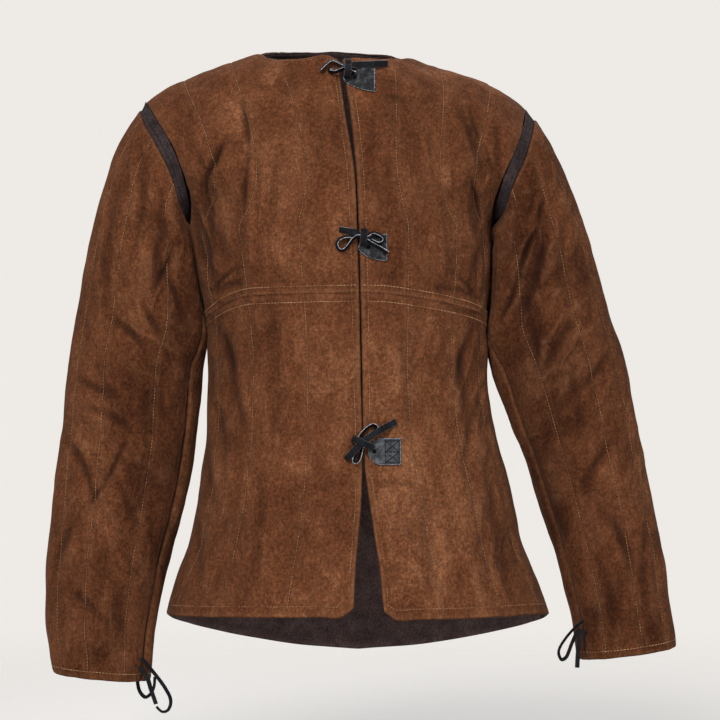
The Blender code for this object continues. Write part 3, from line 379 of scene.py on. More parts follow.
# Creases as soft troughs (depth above 0) and ridges (below 0): front (-1) or back (+1), x and z of
# both ends, width, depth and how far the middle bows sideways
CREASE_STRENGTH = 1.7
CREASES = (
    (-1, -111, -63, -101, -129, 4.5, 2.3, 2),
    (-1, -101, -129, -105, -207, 4.5, 1.9, -2),
    (-1, -134, -118, -155, -160, 4, 2.0, 3),
    (-1, -155, -160, -143, -207, 4, 2.3, -3),
    (-1, -166, -205, -149, -268, 4, 2.4, 3),
    (-1, 166, -68, 184, -122, 4, 2.1, -2),
    (-1, 184, -122, 195, -158, 4, 2.0, 2),
    (-1, 166, -160, 179, -214, 4, 2.2, 3),
    (-1, -150, -300, -112, -268, 4, 1.6, 3),
    (-1, 176, -306, 140, -272, 4, 1.6, -3),
    (-1, -124, -110, -160, -185, 7, 1.8, -5),
    (-1, -160, -185, -146, -250, 7, 1.6, 4),
    (-1, -140, -160, -128, -240, 8, -1.2, 3),
    (-1, -168, -200, -150, -270, 6, 2.0, -4),
    (-1, -112, -150, -118, -300, 9, 1.2, 5),
    (-1, -164, -250, -140, -300, 6, 1.4, 3),
    (-1, -150, -300, -100, -288, 5, 1.3, 3),
    (-1, -156, -318, -112, -302, 5, 1.2, -3),
    (-1, -150, -330, -118, -400, 7, 1.8, 5),
    (-1, -128, -350, -104, -470, 8, 1.5, -5),
    (-1, -150, -420, -132, -500, 7, 1.6, 4),
    (-1, -158, -470, -142, -560, 8, 1.5, -4),
    (-1, -174, -560, -160, -660, 9, 1.4, 4),
    (-1, -60, -100, -70, -240, 10, 0.8, -5),
    (-1, -30, -60, -20, -180, 12, 0.7, 4),
    (-1, -70, -330, -60, -500, 12, 0.8, -4),
    (-1, -88, -520, -96, -650, 10, 1.0, 4),
    (-1, 60, -60, 84, -66, 5, 0.9, 2),
    (-1, 62, -64, 112, -62, 6, 1.0, -3),
    (-1, 150, -70, 180, -158, 8, 1.7, 5),
    (-1, 172, -164, 176, -230, 8, 1.5, -4),
    (-1, 196, -84, 200, -150, 6, 1.6, 3),
    (-1, 132, -180, 140, -300, 9, 1.0, 4),
    (-1, 186, -230, 168, -300, 6, 1.5, -3),
    (-1, 178, -306, 120, -294, 5, 1.3, -3),
    (-1, 184, -326, 130, -312, 5, 1.2, 3),
    (-1, 176, -336, 150, -420, 7, 1.7, -5),
    (-1, 152, -360, 160, -470, 8, 1.4, 4),
    (-1, 178, -430, 160, -520, 7, 1.5, -4),
    (-1, 186, -500, 196, -600, 8, 1.4, 4),
    (-1, 208, -570, 214, -670, 9, 1.3, -3),
    (-1, 40, -528, 96, -531, 5, 1.0, 2),
    (-1, 80, -330, 92, -480, 12, 0.8, 5),
    (-1, 110, -540, 120, -660, 10, 1.0, -4),
    (1, -60, -80, -50, -230, 12, 1.4, 6),
    (1, 70, -80, 60, -230, 12, 1.4, -6),
    (1, -150, -120, -130, -230, 9, 1.8, 5),
    (1, 160, -130, 140, -240, 9, 1.8, -5),
    (1, -150, -300, -40, -345, 8, 2.0, 8),
    (1, -140, -335, -50, -366, 8, 1.6, -6),
    (1, 170, -300, 60, -350, 8, 2.0, -8),
    (1, 160, -350, 70, -384, 8, 1.6, 6),
    (1, -20, -330, 40, -334, 7, 1.2, 4),
    (1, -90, -440, -100, -700, 14, 2.2, 6),
    (1, -30, -480, -28, -730, 14, 1.8, -6),
    (1, 80, -460, 86, -720, 14, 2.2, 6),
    (1, 150, -430, 160, -690, 12, 1.8, -5),
    (1, -160, -440, -190, -680, 12, 2.0, 5),
)


# How suddenly a worked place ends where the cloth turns away from its side
TURNING_AWAY = 2.5


def showing(facing, face):
    """1 where the cloth faces the front (-1) or the back (1), and down to 0 where it turns away."""
    return np.clip(facing * face * TURNING_AWAY, 0, 1)


def crease_depth(points, facing, creases):
    """How far creases press the cloth in (above 0) or raise it (below 0) at each point."""
    total = np.zeros(points.shape[:-1])
    for face, x0, z0, x1, z1, width, depth, bow in creases:
        run = np.array((x1 - x0, z1 - z0), float)
        offset = points[..., (0, 2)] - np.array((x0, z0), float)
        share = (offset @ run) / (run @ run)
        inside = np.clip(share, 0, 1)
        side = (offset @ np.array((-run[1], run[0]))) / np.linalg.norm(run) - bow * 4 * inside * (1 - inside)
        beyond = (share - inside) * np.linalg.norm(run)
        reach = (side ** 2 + beyond ** 2) / width ** 2
        fade = 0.25 + 0.75 * np.sin(np.pi * inside) ** 0.8
        total += depth * (1 - 0.8 * reach) * np.exp(-reach) * fade * showing(facing, face)
    return total


# Crumpled places: front (-1) or back (+1), x and z of the middle, half width, half height, how far the
# creases lean from upright in degrees, their spacing and depth
CRUMPLED = (
    (-1, -158, -170, 30, 80, 24, 15, 2.0),
    (-1, -150, -290, 30, 60, 50, 15, 1.5),
    (-1, -142, -420, 30, 120, 18, 17, 2.1),
    (-1, -160, -610, 36, 90, 10, 20, 1.6),
    (-1, -100, -120, 40, 50, -12, 24, 0.9),
    (-1, 186, -140, 32, 90, -20, 15, 2.0),
    (-1, 178, -290, 30, 60, -48, 15, 1.5),
    (-1, 174, -420, 32, 120, -18, 17, 2.1),
    (-1, 205, -600, 36, 90, -8, 20, 1.8),
    (-1, 100, -110, 40, 60, 15, 24, 0.9),
    (-1, -235, -250, 60, 130, 8, 21, 2.4),
    (-1, -215, -360, 50, 60, 46, 18, 2.6),
    (-1, -285, -520, 70, 120, 30, 22, 2.3),
    (-1, -270, -690, 70, 70, -14, 20, 1.8),
    (-1, 262, -250, 60, 120, -16, 20, 2.7),
    (-1, 275, -380, 60, 70, -46, 18, 2.6),
    (-1, 350, -520, 70, 120, -30, 22, 2.3),
    (-1, 360, -680, 60, 60, 14, 20, 1.8),
    (1, -120, -180, 60, 90, 20, 22, 2.0),
    (1, 120, -180, 60, 90, -20, 22, 2.0),
    (1, 0, -340, 150, 50, 70, 20, 2.2),
    (1, -60, -600, 90, 130, 5, 26, 1.8),
    (1, 110, -600, 90, 130, -5, 26, 1.8),
    (1, -240, -300, 70, 160, 25, 22, 2.5),
    (1, 280, -300, 70, 160, -25, 22, 2.5),
    (1, -280, -580, 70, 140, 20, 24, 2.2),
    (1, 330, -580, 70, 140, -20, 24, 2.2),
)
# The small creases there: how much longer than apart they are, how narrow and how crisp their crests,
# and the share of a place's depth below which there are none
SMALL_CREASE_LENGTH = 3.4
CREST_NARROWNESS = 3.2
CREST_CRISPNESS = 1.4
LEAST_CRUMPLED = 0.03


def crumpling(points, facing, areas):
    """Small crisp creases that run together and part, deepest in the middle of each crumpled place, and
    how strongly each point is crumpled."""
    total = np.zeros(points.shape[:-1])
    spread = np.zeros(points.shape[:-1])
    for number, (face, x, z, wide, high, lean, spacing, depth) in enumerate(areas):
        offset_x = points[..., 0] - x
        offset_z = points[..., 2] - z
        share = np.exp(-((offset_x / wide) ** 2 + (offset_z / high) ** 2)) * showing(facing, face)
        near = share > LEAST_CRUMPLED
        spread = np.maximum(spread, share)
        if not near.any():
            continue
        c, s = math.cos(math.radians(lean)), math.sin(math.radians(lean))
        across = (offset_x[near] * c + offset_z[near] * s) / spacing
        along = (offset_z[near] * c - offset_x[near] * s) / (spacing * SMALL_CREASE_LENGTH)
        value = np.array([noise.noise((u, v, 7.3 * number)) for u, v in zip(across.tolist(), along.tolist())])
        crest = np.clip(1 - CREST_NARROWNESS * np.abs(value), 0, 1) ** CREST_CRISPNESS
        total[near] -= depth * (crest - 0.3 - 0.8 * np.clip(value, -0.5, 0.5)) * share[near]
    return total, spread


def wavering(points, size, height, seed):
    """Slow uneven swells of the cloth, longer upright than across."""
    place = points / np.array((size, size, size * 1.8)) + seed
    flat = place.reshape(-1, 3)
    return height * np.array([noise.noise(p) for p in flat.tolist()]).reshape(points.shape[:-1])


# The quilted channels: how full they stand beside their lines and how far the lines are drawn in, and
# the height of the small gathers along them, each with how far from the line it reaches
QUILTING_FULLNESS, FULLNESS_REACH = 1.1, 11.0
QUILTING_DIP, DIP_REACH = 0.75, 1.4
PUCKER_HEIGHT, PUCKER_REACH = 0.35, 7.0
PUCKER_PITCH = 12.0


def puckers(surface, lines, seed):
    """Small gathers that the stitching draws up on both sides of each quilting line."""
    across = surface["length across"]
    total = np.zeros(across.shape)
    along = surface["length up"]
    for i, line in enumerate(lines):
        near = np.abs(across - across[:, line:line + 1])
        phase = along / PUCKER_PITCH * (1 + 0.13 * np.sin(along / 47 + i)) + i * 0.37 + seed
        strength = 0.5 + 0.5 * np.sin(along / 31 + 2.1 * i + seed)
        total += PUCKER_HEIGHT * strength * np.sin(2 * np.pi * phase) * np.exp(-(near / PUCKER_REACH) ** 2)
        total += (QUILTING_FULLNESS * np.exp(-(near / FULLNESS_REACH) ** 2)
                  - QUILTING_DIP * np.exp(-(near / DIP_REACH) ** 2))
    return total


def surface_of(node, first_row, line_every, step=CLOTH_STEP):
    """The fine outer and inner surface of a cut piece, with its quilting lines' columns."""
    outer, inner = (grid_of(points, faces, first_row) for points, faces in skins(node))
    lines = list(range(0, outer.shape[1], line_every)) if line_every else []
    across = places_along(outer, 1, step, lines, turned=line_every > 0)
    up = places_along(outer, 0, step, turned=line_every > 0)
    surface = {"outer": finer(finer(outer, 1, across), 0, up), "inner": finer(finer(inner, 1, across), 0, up)}
    surface["lines"] = [int(np.argmin(np.abs(across - line))) for line in lines]
    surface["normal"] = normals_of(surface["outer"], surface["outer"] - surface["inner"])
    for name, axis in (("length across", 1), ("length up", 0)):
        gaps = np.linalg.norm(np.diff(surface["outer"], axis=axis), axis=-1)
        surface[name] = np.cumsum(np.insert(gaps, 0, 0.0, axis=axis), axis=axis)
    return surface


def set_down(name, data):
    """A new object in the scene."""
    item = bpy.data.objects.new(name, data)
    bpy.context.scene.collection.objects.link(item)
    return item


def closed_shape(name, points, faces, material, marks, smooth=True):
    """A closed mesh, its points in millimetres, with a number at every point for each mark."""
    mesh = bpy.data.meshes.new(name)
    mesh.from_pydata((points * MM).tolist(), [], faces)
    mesh.update()
    if sum(face.center.dot(face.normal) * face.area for face in mesh.polygons) < 0:
        mesh.flip_normals()
    for mark, values in marks.items():
        layer = mesh.attributes.new(mark, "FLOAT", "POINT")
        layer.data.foreach_set("value", values.astype(np.float32))
    mesh.polygons.foreach_set("use_smooth", [smooth] * len(mesh.polygons))
    mesh.materials.append(material)
    return set_down(name, mesh)


def grid_faces(index):
    """The four-cornered faces between the rows and columns of numbered points."""
    return np.stack((index[:-1, :-1], index[:-1, 1:], index[1:, 1:], index[1:, :-1]), axis=-1).reshape(-1, 4)


def band(before, after):
    """The faces between two closed rows of points."""
    return np.stack((np.roll(before, -1), before, after, np.roll(after, -1)), axis=-1)


def cloth_mesh(name, surface, material, ring):
    """Closed wall between a surface's outer and inner points, rolled over softly at every edge."""
    outer, inner = surface["outer"], surface["inner"]
    columns = outer.shape[1] - 1 if ring else outer.shape[1]
    outer, inner = outer[:, :columns], inner[:, :columns]
    rows = len(outer)
    count = rows * columns
    index = np.arange(count).reshape(rows, columns)
    quads = grid_faces(np.concatenate((index, index[:, :1]), axis=1) if ring else index)
    flat_outer, flat_inner = outer.reshape(-1, 3), inner.reshape(-1, 3)
    points = [flat_outer, flat_inner]
    faces = [quads, quads[:, ::-1] + count]
    marks = {"lined": [np.zeros(count), np.ones(count)]}
    # The rings round an edge take the piece's edge shade, painted shade in the gap beside it
    on_edge = {"rubbed": 0.1, "sunk": surface["edge sunk"], "tone": 0.0, "crumpled": 0.0}
    for mark in on_edge:
        inside = "inner sunk" if mark == "sunk" else mark
        marks[mark] = [surface[key][:, :columns].reshape(-1) for key in (mark, inside)]
    if ring:
        loops = [(index[0], index[1]), (index[-1][::-1], index[-2][::-1])]
    else:
        loop = np.concatenate((index[0], index[1:, -1], index[-1, -2::-1], index[-2:0:-1, 0]))
        near = np.concatenate((index[1], index[1:, -2], index[-2, -2::-1], index[-2:0:-1, 1]))
        loops = [(loop, near)]
    total = 2 * count
    for loop, near in loops:
        way = flat_outer[loop] - flat_outer[near]
        way /= np.maximum(np.linalg.norm(way, axis=1, keepdims=True), 1e-9)
        before = loop
        for share, roll, lining in EDGE_TURNS:
            points.append(flat_outer[loop] * (1 - share) + flat_inner[loop] * share + way * roll * EDGE_ROLL)
            after = total + np.arange(len(loop))
            total += len(loop)
            faces.append(band(before, after))
            for mark, value in {**on_edge, "lined": lining}.items():
                marks[mark].append(np.full(len(loop), value))
            before = after
        faces.append(band(before, loop + count))
    marks = {mark: np.concatenate(values) for mark, values in marks.items()}
    return closed_shape(name, np.concatenate(points), np.concatenate(faces).tolist(), material, marks)


def nap_tone_and_painted_shade(points, facing, areas):
    """Where broad areas of the nap lie lighter (above 0) or darker (below 0); the darkest are painted shade
    on the sleeves' inner sides beside the body.
    """
    total = np.zeros(points.shape[:-1])
    for face, x, z, wide, high, amount in areas:
        far = ((points[..., 0] - x) / wide) ** 2 + ((points[..., 2] - z) / high) ** 2
        total += amount * np.exp(-far) * showing(facing, face)
    return total


# From what height up painted shade darkens the inside, and over what height
INSIDE_SHADE_FROM = -480.0
INSIDE_SHADE_OVER = 90.0


def painted_shade_inside(points):
    """How much painted shade darkens the inside of the garment: none by the hem, full above the waist."""
    return np.clip((points[..., 2] - INSIDE_SHADE_FROM) / INSIDE_SHADE_OVER, 0, 1)


# How strongly the bottom, the last column, the top and the first column of a piece are rubbed, and how
# far in from the edge
EDGE_WEAR = (0.3, 0.2, 0.2, 0.45)
EDGE_WEAR_PLACE, EDGE_WEAR_REACH = 3.2, 2.2
# How strongly both sides of a quilting line are rubbed, and how much painted shade darkens the line
LINE_WEAR, LINE_WEAR_PLACE, LINE_WEAR_REACH = 0.14, 3.5, 2.5
LINE_PAINTED_SHADE, LINE_REACH = 0.25, 1.2
# The slow swells of the cloth: size, height, seed
SWELLS = ((34.0, 1.8, 3.0), (13.0, 0.7, 9.0))


def worked_cloth(surface, creases, seed, base_tone, turned=(1.5, 0.8, 1.5, 1.5), armpits=()):
    """Presses creases, swells and puckers into a surface, rounds its edges over and notes where it is
    rubbed and where painted shade darkens it. Its edges turn in by the given depths, in the order of
    EDGE_WEAR."""
    facing = surface["normal"][..., 1]
    outer = surface["outer"]
    across = surface["length across"]
    up = surface["length up"]
    edges = (up, across[:, -1:] - across, up[-1:] - up, across)
    pressed = crease_depth(outer, facing, creases) * CREASE_STRENGTH
    crumpled, surface["crumpled"] = crumpling(outer, facing, CRUMPLED)
    depth = pressed + crumpled * np.exp(-(pressed / 2.0) ** 2)
    depth += sum(wavering(outer, *swell) for swell in SWELLS)
    rounded = np.zeros(across.shape)
    rubbed = np.clip(-depth / 7.0, 0, 0.3)
    for drop, strength, gap in zip(turned, EDGE_WEAR, edges):
        share = np.clip(1 - gap / EDGE_REACH, 0, 1)
        rounded = np.maximum(rounded, drop * (1 - np.sqrt(1 - share ** 2)))
        rubbed = np.maximum(rubbed, strength * np.exp(-((gap - EDGE_WEAR_PLACE) / EDGE_WEAR_REACH) ** 2))
    quilting = puckers(surface, surface["lines"], seed) - rounded
    move = (-depth + quilting)[..., None] * surface["normal"]
    for side, height, gap in armpits:
        towards = np.clip(-side * surface["normal"][..., 0] * 2.0, 0, 1) * (outer[..., 0] * side > 0)
        move[..., 0] -= side * gap * np.exp(-((outer[..., 2] - height) / ARMPIT_REACH) ** 2) * towards
    # The tone: the nap's broad tones, with painted shade on the sleeves' inner sides
    surface["tone"] = nap_tone_and_painted_shade(outer, facing, NAP_TONES_AND_PAINTED_SHADE) + base_tone
    surface["outer"] = outer + move
    surface["inner"] = surface["inner"] + np.minimum(-depth, 0.6)[..., None] * surface["normal"]
    surface["normal"] = normals_of(surface["outer"], surface["normal"])
    near = np.full(across.shape, 1e3)
    for line in surface["lines"]:
        near = np.minimum(near, np.abs(across - across[:, line:line + 1]))
    line_wear = LINE_WEAR * np.exp(-((near - LINE_WEAR_PLACE) / LINE_WEAR_REACH) ** 2)
    surface["rubbed"] = np.maximum(rubbed, line_wear)
    # Painted shade down in creases and crumples, along the quilting lines and over the turned edges
    line_painted_shade = LINE_PAINTED_SHADE * np.exp(-(near / LINE_REACH) ** 2)
    sunk = np.maximum(np.maximum(depth / 8.0, pressed / 4.2), line_painted_shade)
    surface["sunk"] = np.clip(np.maximum(sunk, (rounded / 1.5) ** 2), 0, 1)
    surface["inner sunk"] = painted_shade_inside(outer)
    surface["edge sunk"] = EDGE_PAINTED_SHADE


def flat_size(surface):
    """Width and length of the cut and its area, in metres."""
    gap_u = surface["outer"][1:, 1:] - surface["outer"][:-1, :-1]
    gap_v = surface["outer"][1:, :-1] - surface["outer"][:-1, 1:]
    area = np.linalg.norm(np.cross(gap_u, gap_v), axis=-1).sum() / 2 * MM * MM
    width = surface["length across"][:, -1].max() * MM
    length = surface["length up"][-1].max() * MM
    return width, length, area


def lay_cloth(name, node, surface, material, ring=False):
    item = cloth_mesh(name, surface, material, ring)
    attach(item, "root")
    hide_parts(node)
    width, length, area = flat_size(surface)
    whole = max(1.0, area / (width * length))
    width, length = round(width * whole ** 0.5, 3), round(length * whole ** 0.5, 3)


# How the waist seam dips at the wearer's right and left side: from where out, over what reach, how
# suddenly, how far; and its height and how far up and down the cloth goes along with it
WAIST_DIPS = ((-1, 97.0, 60.0, 1.5, 17.0), (1, 60.0, 125.0, 1.3, 18.0))
WAIST_HEIGHT = -300.0
WAIST_REACH = 48.0


def dipped(points):
    """Points moved down with the dip of the waist seam."""
    moved = points.copy()
    fade = np.exp(-((points[..., 2] - WAIST_HEIGHT) / WAIST_REACH) ** 2)
    for side, start, reach, bend, drop in WAIST_DIPS:
        share = np.clip((points[..., 0] * side - start) / reach, 0, 1) ** bend
        moved[..., 2] -= drop * share * fade
    return moved


# How far the edges of a skirt part and of an upper part turn in, least at the waist seam
TURNED_IN = ((1.5, 0.8, 0.45, 1.5), (0.45, 0.8, 1.5, 1.5))
panels = {}
for node in ("front_right_bodice", "front_right_skirt", "front_left_bodice", "front_left_skirt",
             "back_bodice", "back_skirt"):
    surface = surface_of(node, "bottom", 4, BACK_STEP if node.startswith("back") else CLOTH_STEP)
    surface["outer"] = dipped(surface["outer"])
    surface["inner"] = dipped(surface["inner"])
    surface["lines"] = surface["lines"][1:-1]
    worked_cloth(surface, CREASES, 0.2, 0.38, TURNED_IN[node.endswith("bodice")])
    panels[node] = surface
    lay_cloth(node + "_suede", node, surface, suede)

# Sleeves in two pieces, an upper and an under one, of the same padded suede. They are quilted lengthwise,
# with a seam down each side that is left open along the forearm.

SLEEVE_CREASES = (
    (-1, -232, -130, -244, -250, 8, 1.6, 5),
    (-1, -206, -180, -214, -290, 7, 1.8, -4),
    (-1, -262, -160, -276, -290, 9, 1.4, -6),
    (-1, -210, -270, -186, -330, 6, 2.2, 4),
    (-1, -236, -300, -206, -352, 6, 1.8, -4),
    (-1, -274, -330, -228, -372, 7, 2.0, 5),
    (-1, -318, -400, -262, -424, 7, 1.8, -4),
    (-1, -300, -440, -236, -476, 7, 1.5, 5),
    (-1, -326, -480, -290, -560, 8, 2.2, 6),
    (-1, -306, -560, -344, -650, 8, 1.8, -5),
    (-1, -270, -520, -240, -600, 8, 1.5, 5),
    (-1, -330, -660, -280, -700, 8, 1.2, 4),
    (-1, -260, -650, -250, -740, 8, 1.2, -4),
    (-1, -232, -240, -240, -330, 6, -1.2, 3),
    (-1, 259, -184, 253, -218, 4, 2.6, -2),
    (-1, 253, -218, 228, -278, 4.5, 3.0, -4),
    (-1, 228, -278, 203, -332, 4.5, 2.6, 3),
    (-1, 258, -238, 246, -268, 3.5, 1.8, 1),
    (-1, -198, -238, -222, -300, 4.5, 2.2, 4),
    (-1, -250, -470, -300, -560, 4.5, 2.0, 4),
    (-1, 372, -400, 352, -330, 4.5, 1.8, 3),
    (-1, 258, -228, 226, -330, 8, 2.4, 6),
    (-1, 284, -200, 290, -320, 9, 1.4, -5),
    (-1, 232, -300, 250, -390, 7, 1.8, 5),
    (-1, 300, -330, 260, -392, 7, 1.8, -5),
    (-1, 340, -370, 296, -420, 7, 1.8, 4),
    (-1, 290, -400, 300, -480, 8, 1.4, 5),
    (-1, 352, -470, 306, -540, 8, 2.0, -5),
    (-1, 330, -560, 370, -650, 8, 1.8, 5),
    (-1, 390, -560, 380, -680, 8, 1.4, -5),
    (-1, 322, -620, 340, -700, 8, 1.3, 4),
    (1, -280, -150, -250, -280, 10, 2.2, 6),
    (1, -220, -170, -214, -300, 9, 2.2, -5),
    (1, -310, -330, -220, -372, 9, 2.4, 6),
    (1, -320, -400, -210, -440, 9, 2.4, -6),
    (1, -330, -470, -240, -500, 9, 1.8, 5),
    (1, -300, -560, -330, -680, 9, 1.8, 5),
    (1, 290, -160, 260, -290, 10, 2.2, -6),
    (1, 240, -180, 236, -310, 9, 2.2, 5),
    (1, 340, -340, 250, -380, 9, 2.4, -6),
    (1, 356, -410, 262, -446, 9, 2.4, 6),
    (1, 370, -480, 290, -506, 9, 1.8, -5),
    (1, 350, -570, 380, -690, 9, 1.8, -5),
)

# Where the sleeve swells to meet the body below each armpit: side, height, how far
ARMPITS = ((-1, -224, 7.5), (1, -221, 11.0))
ARMPIT_REACH = 16.0

for side in ("right", "left"):
    for part in ("top", "under"):
        node = "sleeve_%s_%s" % (part, side)
        surface = surface_of(node, "top", 3, UNDER_STEP if part == "under" else CLOTH_STEP)
        surface["lines"] = surface["lines"][1:-1]
        # The sleeves' lower base tone darkens them all over, painted shade where the light falls off at the
        # sides
        worked_cloth(surface, SLEEVE_CREASES, 0.6, -0.25, armpits=ARMPITS)
        panels[node] = surface
        lay_cloth(node + "_suede", node, surface, suede)

# Strips let in between each armhole and its sleeve's head, of dark grey-purple canvas. Each is sewn to
# both, with two lines of stitching down it, and is narrowest under the arm.


def two_tones_effect():
    """A colour that goes from dark to pale as a value goes from low to high."""
    inputs = {"Value": "Float", "Low": "Float", "High": "Float", "Dark": "Color", "Pale": "Color"}
    group, given, result = effect("two tones", inputs, "Colour", "Color")
    share = add_node(group, "ShaderNodeMapRange", Value=given["Value"], From_Min=given["Low"],
                     From_Max=given["High"])
    feed(group, result, mix_colour(group, share.outputs[0], given["Dark"], given["Pale"]))
    return group


two_tones_group = two_tones_effect()


def two_tones(tree, value, low, dark, high, pale):
    return add_node(tree, "ShaderNodeGroup", node_tree=two_tones_group, Value=value, Low=low, High=high,
                    Dark=dark, Pale=pale).outputs[0]


def canvas_material():
    """Canvas: the strips, and the paler lining where the tone is 1, darkened where marked sunk: painted shade
    at the edges and inside, and the strips' two darker lines.
    """
    material, tree, shader = plain_finish("canvas", 0.95, 0.05)
    shade = grain(tree, 60.0, detail=4.0)
    threads = grain(tree, 620.0, (1, 1, 0.7), detail=3.0, rough=0.7)
    strip = two_tones(tree, shade, 0.35, (0.021, 0.0148, 0.0155), 0.65, (0.040, 0.0290, 0.0300))
    lining = two_tones(tree, shade, 0.35, (0.040, 0.0265, 0.0255), 0.65, (0.068, 0.047, 0.045))
    colour = mix_colour(tree, stored(tree, "tone"), strip, lining)
    weave = ramp(tree, threads, ((0.32, (0.35, 0.35, 0.35)), (0.68, (1.9, 1.85, 1.85))))
    colour = mix_colour(tree, 0.85, colour, weave, "MULTIPLY")
    # Painted shade at the edges and inside the garment, and the strips' two darker lines, where marked sunk
    colour = mix_colour(tree, stored(tree, "sunk"), colour, (0.004, 0.003, 0.003))
    feed(tree, shader.inputs["Base Color"], colour)
    roughen(tree, shader, (threads, 0.6, 0.0005))
    return material


canvas = canvas_material()
# How much painted shade darkens the rings round a canvas edge
CANVAS_EDGE_PAINTED_SHADE = 0.3
# Where the two lines run across a strip, how wide and dark they are, the farthest that a strip reaches
# for its sleeve, and the gap of its seam
STRIP_LINES = (0.3, 0.64)
STRIP_LINE_WIDTH = 0.045
STRIP_LINE_DARKNESS = 0.5
STRIP_REACH = 14.0
SEAM_GAP = 0.5


def reach_sleeve(surface, side):
    """Draws a strip's outer side on to the sleeve's head under the arm, where the strip is narrowest."""
    sleeves = [panels["sleeve_%s_%s" % (part, side)] for part in ("top", "under")]
    head = np.concatenate([(sleeve["outer"][0] + sleeve["inner"][0]) / 2 for sleeve in sleeves])
    gaps = [np.linalg.norm(head[None] - surface["outer"][row][:, None], axis=-1).min(axis=1).mean()
            for row in (0, -1)]
    shares = np.linspace(0, 1, len(surface["outer"]))[:, None, None]
    edge = -1
    if gaps[0] < gaps[1]:
        shares = 1 - shares
        edge = 0
    start = (surface["outer"][edge] + surface["inner"][edge]) / 2
    far = np.linalg.norm(head[None] - start[:, None], axis=-1)
    nearest = head[far.argmin(axis=1)]
    far = far.min(axis=1, keepdims=True)
    move = (nearest - start) * np.maximum(0, 1 - SEAM_GAP / np.maximum(far, 1e-6)) * (far < STRIP_REACH)
    for skin in ("outer", "inner"):
        surface[skin] = surface[skin] + shares * move[None]
    gaps = np.linalg.norm(np.diff(surface["outer"], axis=0), axis=-1)
    surface["length up"] = np.cumsum(np.insert(gaps, 0, 0.0, axis=0), axis=0)


for side in ("right", "left"):
    node = "armhole_strip_" + side
    surface = surface_of(node, "ring", 0)
    reach_sleeve(surface, side)
    width = surface["length up"] / np.maximum(surface["length up"][-1:], 1e-6)
    lines = sum(np.exp(-((width - place) / STRIP_LINE_WIDTH) ** 2) for place in STRIP_LINES)
    plain = np.zeros(width.shape)
    surface.update({"rubbed": plain, "crumpled": plain, "tone": plain, "sunk": STRIP_LINE_DARKNESS * lines,
                    "inner sunk": STRIP_LINE_DARKNESS * lines, "edge sunk": CANVAS_EDGE_PAINTED_SHADE})
    panels[node] = surface
    lay_cloth(node + "_canvas", node, surface, canvas, ring=True)

# Lining of the back, of the same canvas, in one piece from the neck to the hem. It is sewn in at the neck
# and the seams, hangs free below the chest and is turned up once at its hem.

LINING_STEP = 9.0
# The most painted shade on the lining's inside face
LINING_SHADE_LIMIT = 0.5

surface = surface_of("back_lining", "bottom", 0, LINING_STEP)
plain = np.zeros(surface["outer"].shape[:2])
surface.update({"rubbed": plain, "crumpled": plain, "sunk": plain, "tone": plain + 1.0,
                "inner sunk": np.minimum(painted_shade_inside(surface["outer"]), LINING_SHADE_LIMIT),
                "edge sunk": CANVAS_EDGE_PAINTED_SHADE})
panels["back_lining"] = surface
lay_cloth("back_lining_canvas", "back_lining", surface, canvas)

# Sewing: tan waxed thread at the waist and the cuffs, the same thread worn dull along the quilting and
# the turned edges, and dark thread on the canvas. Each stitch is a short rounded length of thread.

STITCH_PITCH = 4.0
STITCH_LENGTH = 3.5
THREAD_WIDTH = 0.9
# How far in from its edge each line of stitches runs
EDGE_MARGIN = 9.0
WAIST_MARGIN = 9.5
HEM_MARGIN = 13.0
NECK_MARGIN = 7.0
CUFF_MARGIN = 10.0
LINING_MARGIN = 11.0


def sewing_tree():
    """Lays stitches one after another along drawn lines."""
    tree = bpy.data.node_groups.new("sewing", "GeometryNodeTree")
    for label, kind in (("Lines", "Geometry"), ("Pitch", "Float"), ("Stitch length", "Float"),
                        ("Thread width", "Float"), ("Thread", "Material")):
        tree.interface.new_socket(label, in_out="INPUT", socket_type="NodeSocket" + kind)
    tree.interface.new_socket("Stitches", in_out="OUTPUT", socket_type="NodeSocketGeometry")
    given = tree.nodes.new("NodeGroupInput").outputs
    curve = add_node(tree, "GeometryNodeMeshToCurve", Mesh=given["Lines"])
    spaced = add_node(tree, "GeometryNodeResampleCurve", mode="LENGTH", Curve=curve.outputs[0],
                      Length=given["Pitch"])
    stitch = add_node(tree, "GeometryNodeMeshUVSphere", Segments=5, Rings=3, Radius=0.5)
    along = add_node(tree, "GeometryNodeInputTangent").outputs[0]
    turned = add_node(tree, "FunctionNodeAlignRotationToVector", axis="Z", Vector=along)
    uneven = add_node(tree, "FunctionNodeRandomValue", data_type="FLOAT", Seed=11)
    feed(tree, uneven.inputs[2], 0.82)
    feed(tree, uneven.inputs[3], 1.08)
    drawn = calculate(tree, "MULTIPLY", given["Stitch length"], uneven.outputs[1])
    size = add_node(tree, "ShaderNodeCombineXYZ", X=given["Thread width"], Y=given["Thread width"], Z=drawn)
    placed = add_node(tree, "GeometryNodeInstanceOnPoints", Points=spaced.outputs[0],
                      Instance=stitch.outputs["Mesh"], Rotation=turned.outputs[0], Scale=size.outputs[0])
    real = add_node(tree, "GeometryNodeRealizeInstances", Geometry=placed.outputs[0])
    smooth = add_node(tree, "GeometryNodeSetShadeSmooth", Geometry=real.outputs[0])
    dyed = add_node(tree, "GeometryNodeSetMaterial", Geometry=smooth.outputs[0], Material=given["Thread"])
    feed(tree, tree.nodes.new("NodeGroupOutput").inputs[0], dyed.outputs[0])
    return tree


def thread_material(name, dull, bright):
    material, tree, shader = plain_finish(name, 0.7, 0.25)
    soiled = grain(tree, 55.0, detail=3.0)
    twist = grain(tree, 2600.0, detail=1.0)
    feed(tree, shader.inputs["Base Color"], two_tones(tree, soiled, 0.40, dull, 0.60, bright))
    roughen(tree, shader, (twist, 0.4, 0.0002))
    return material


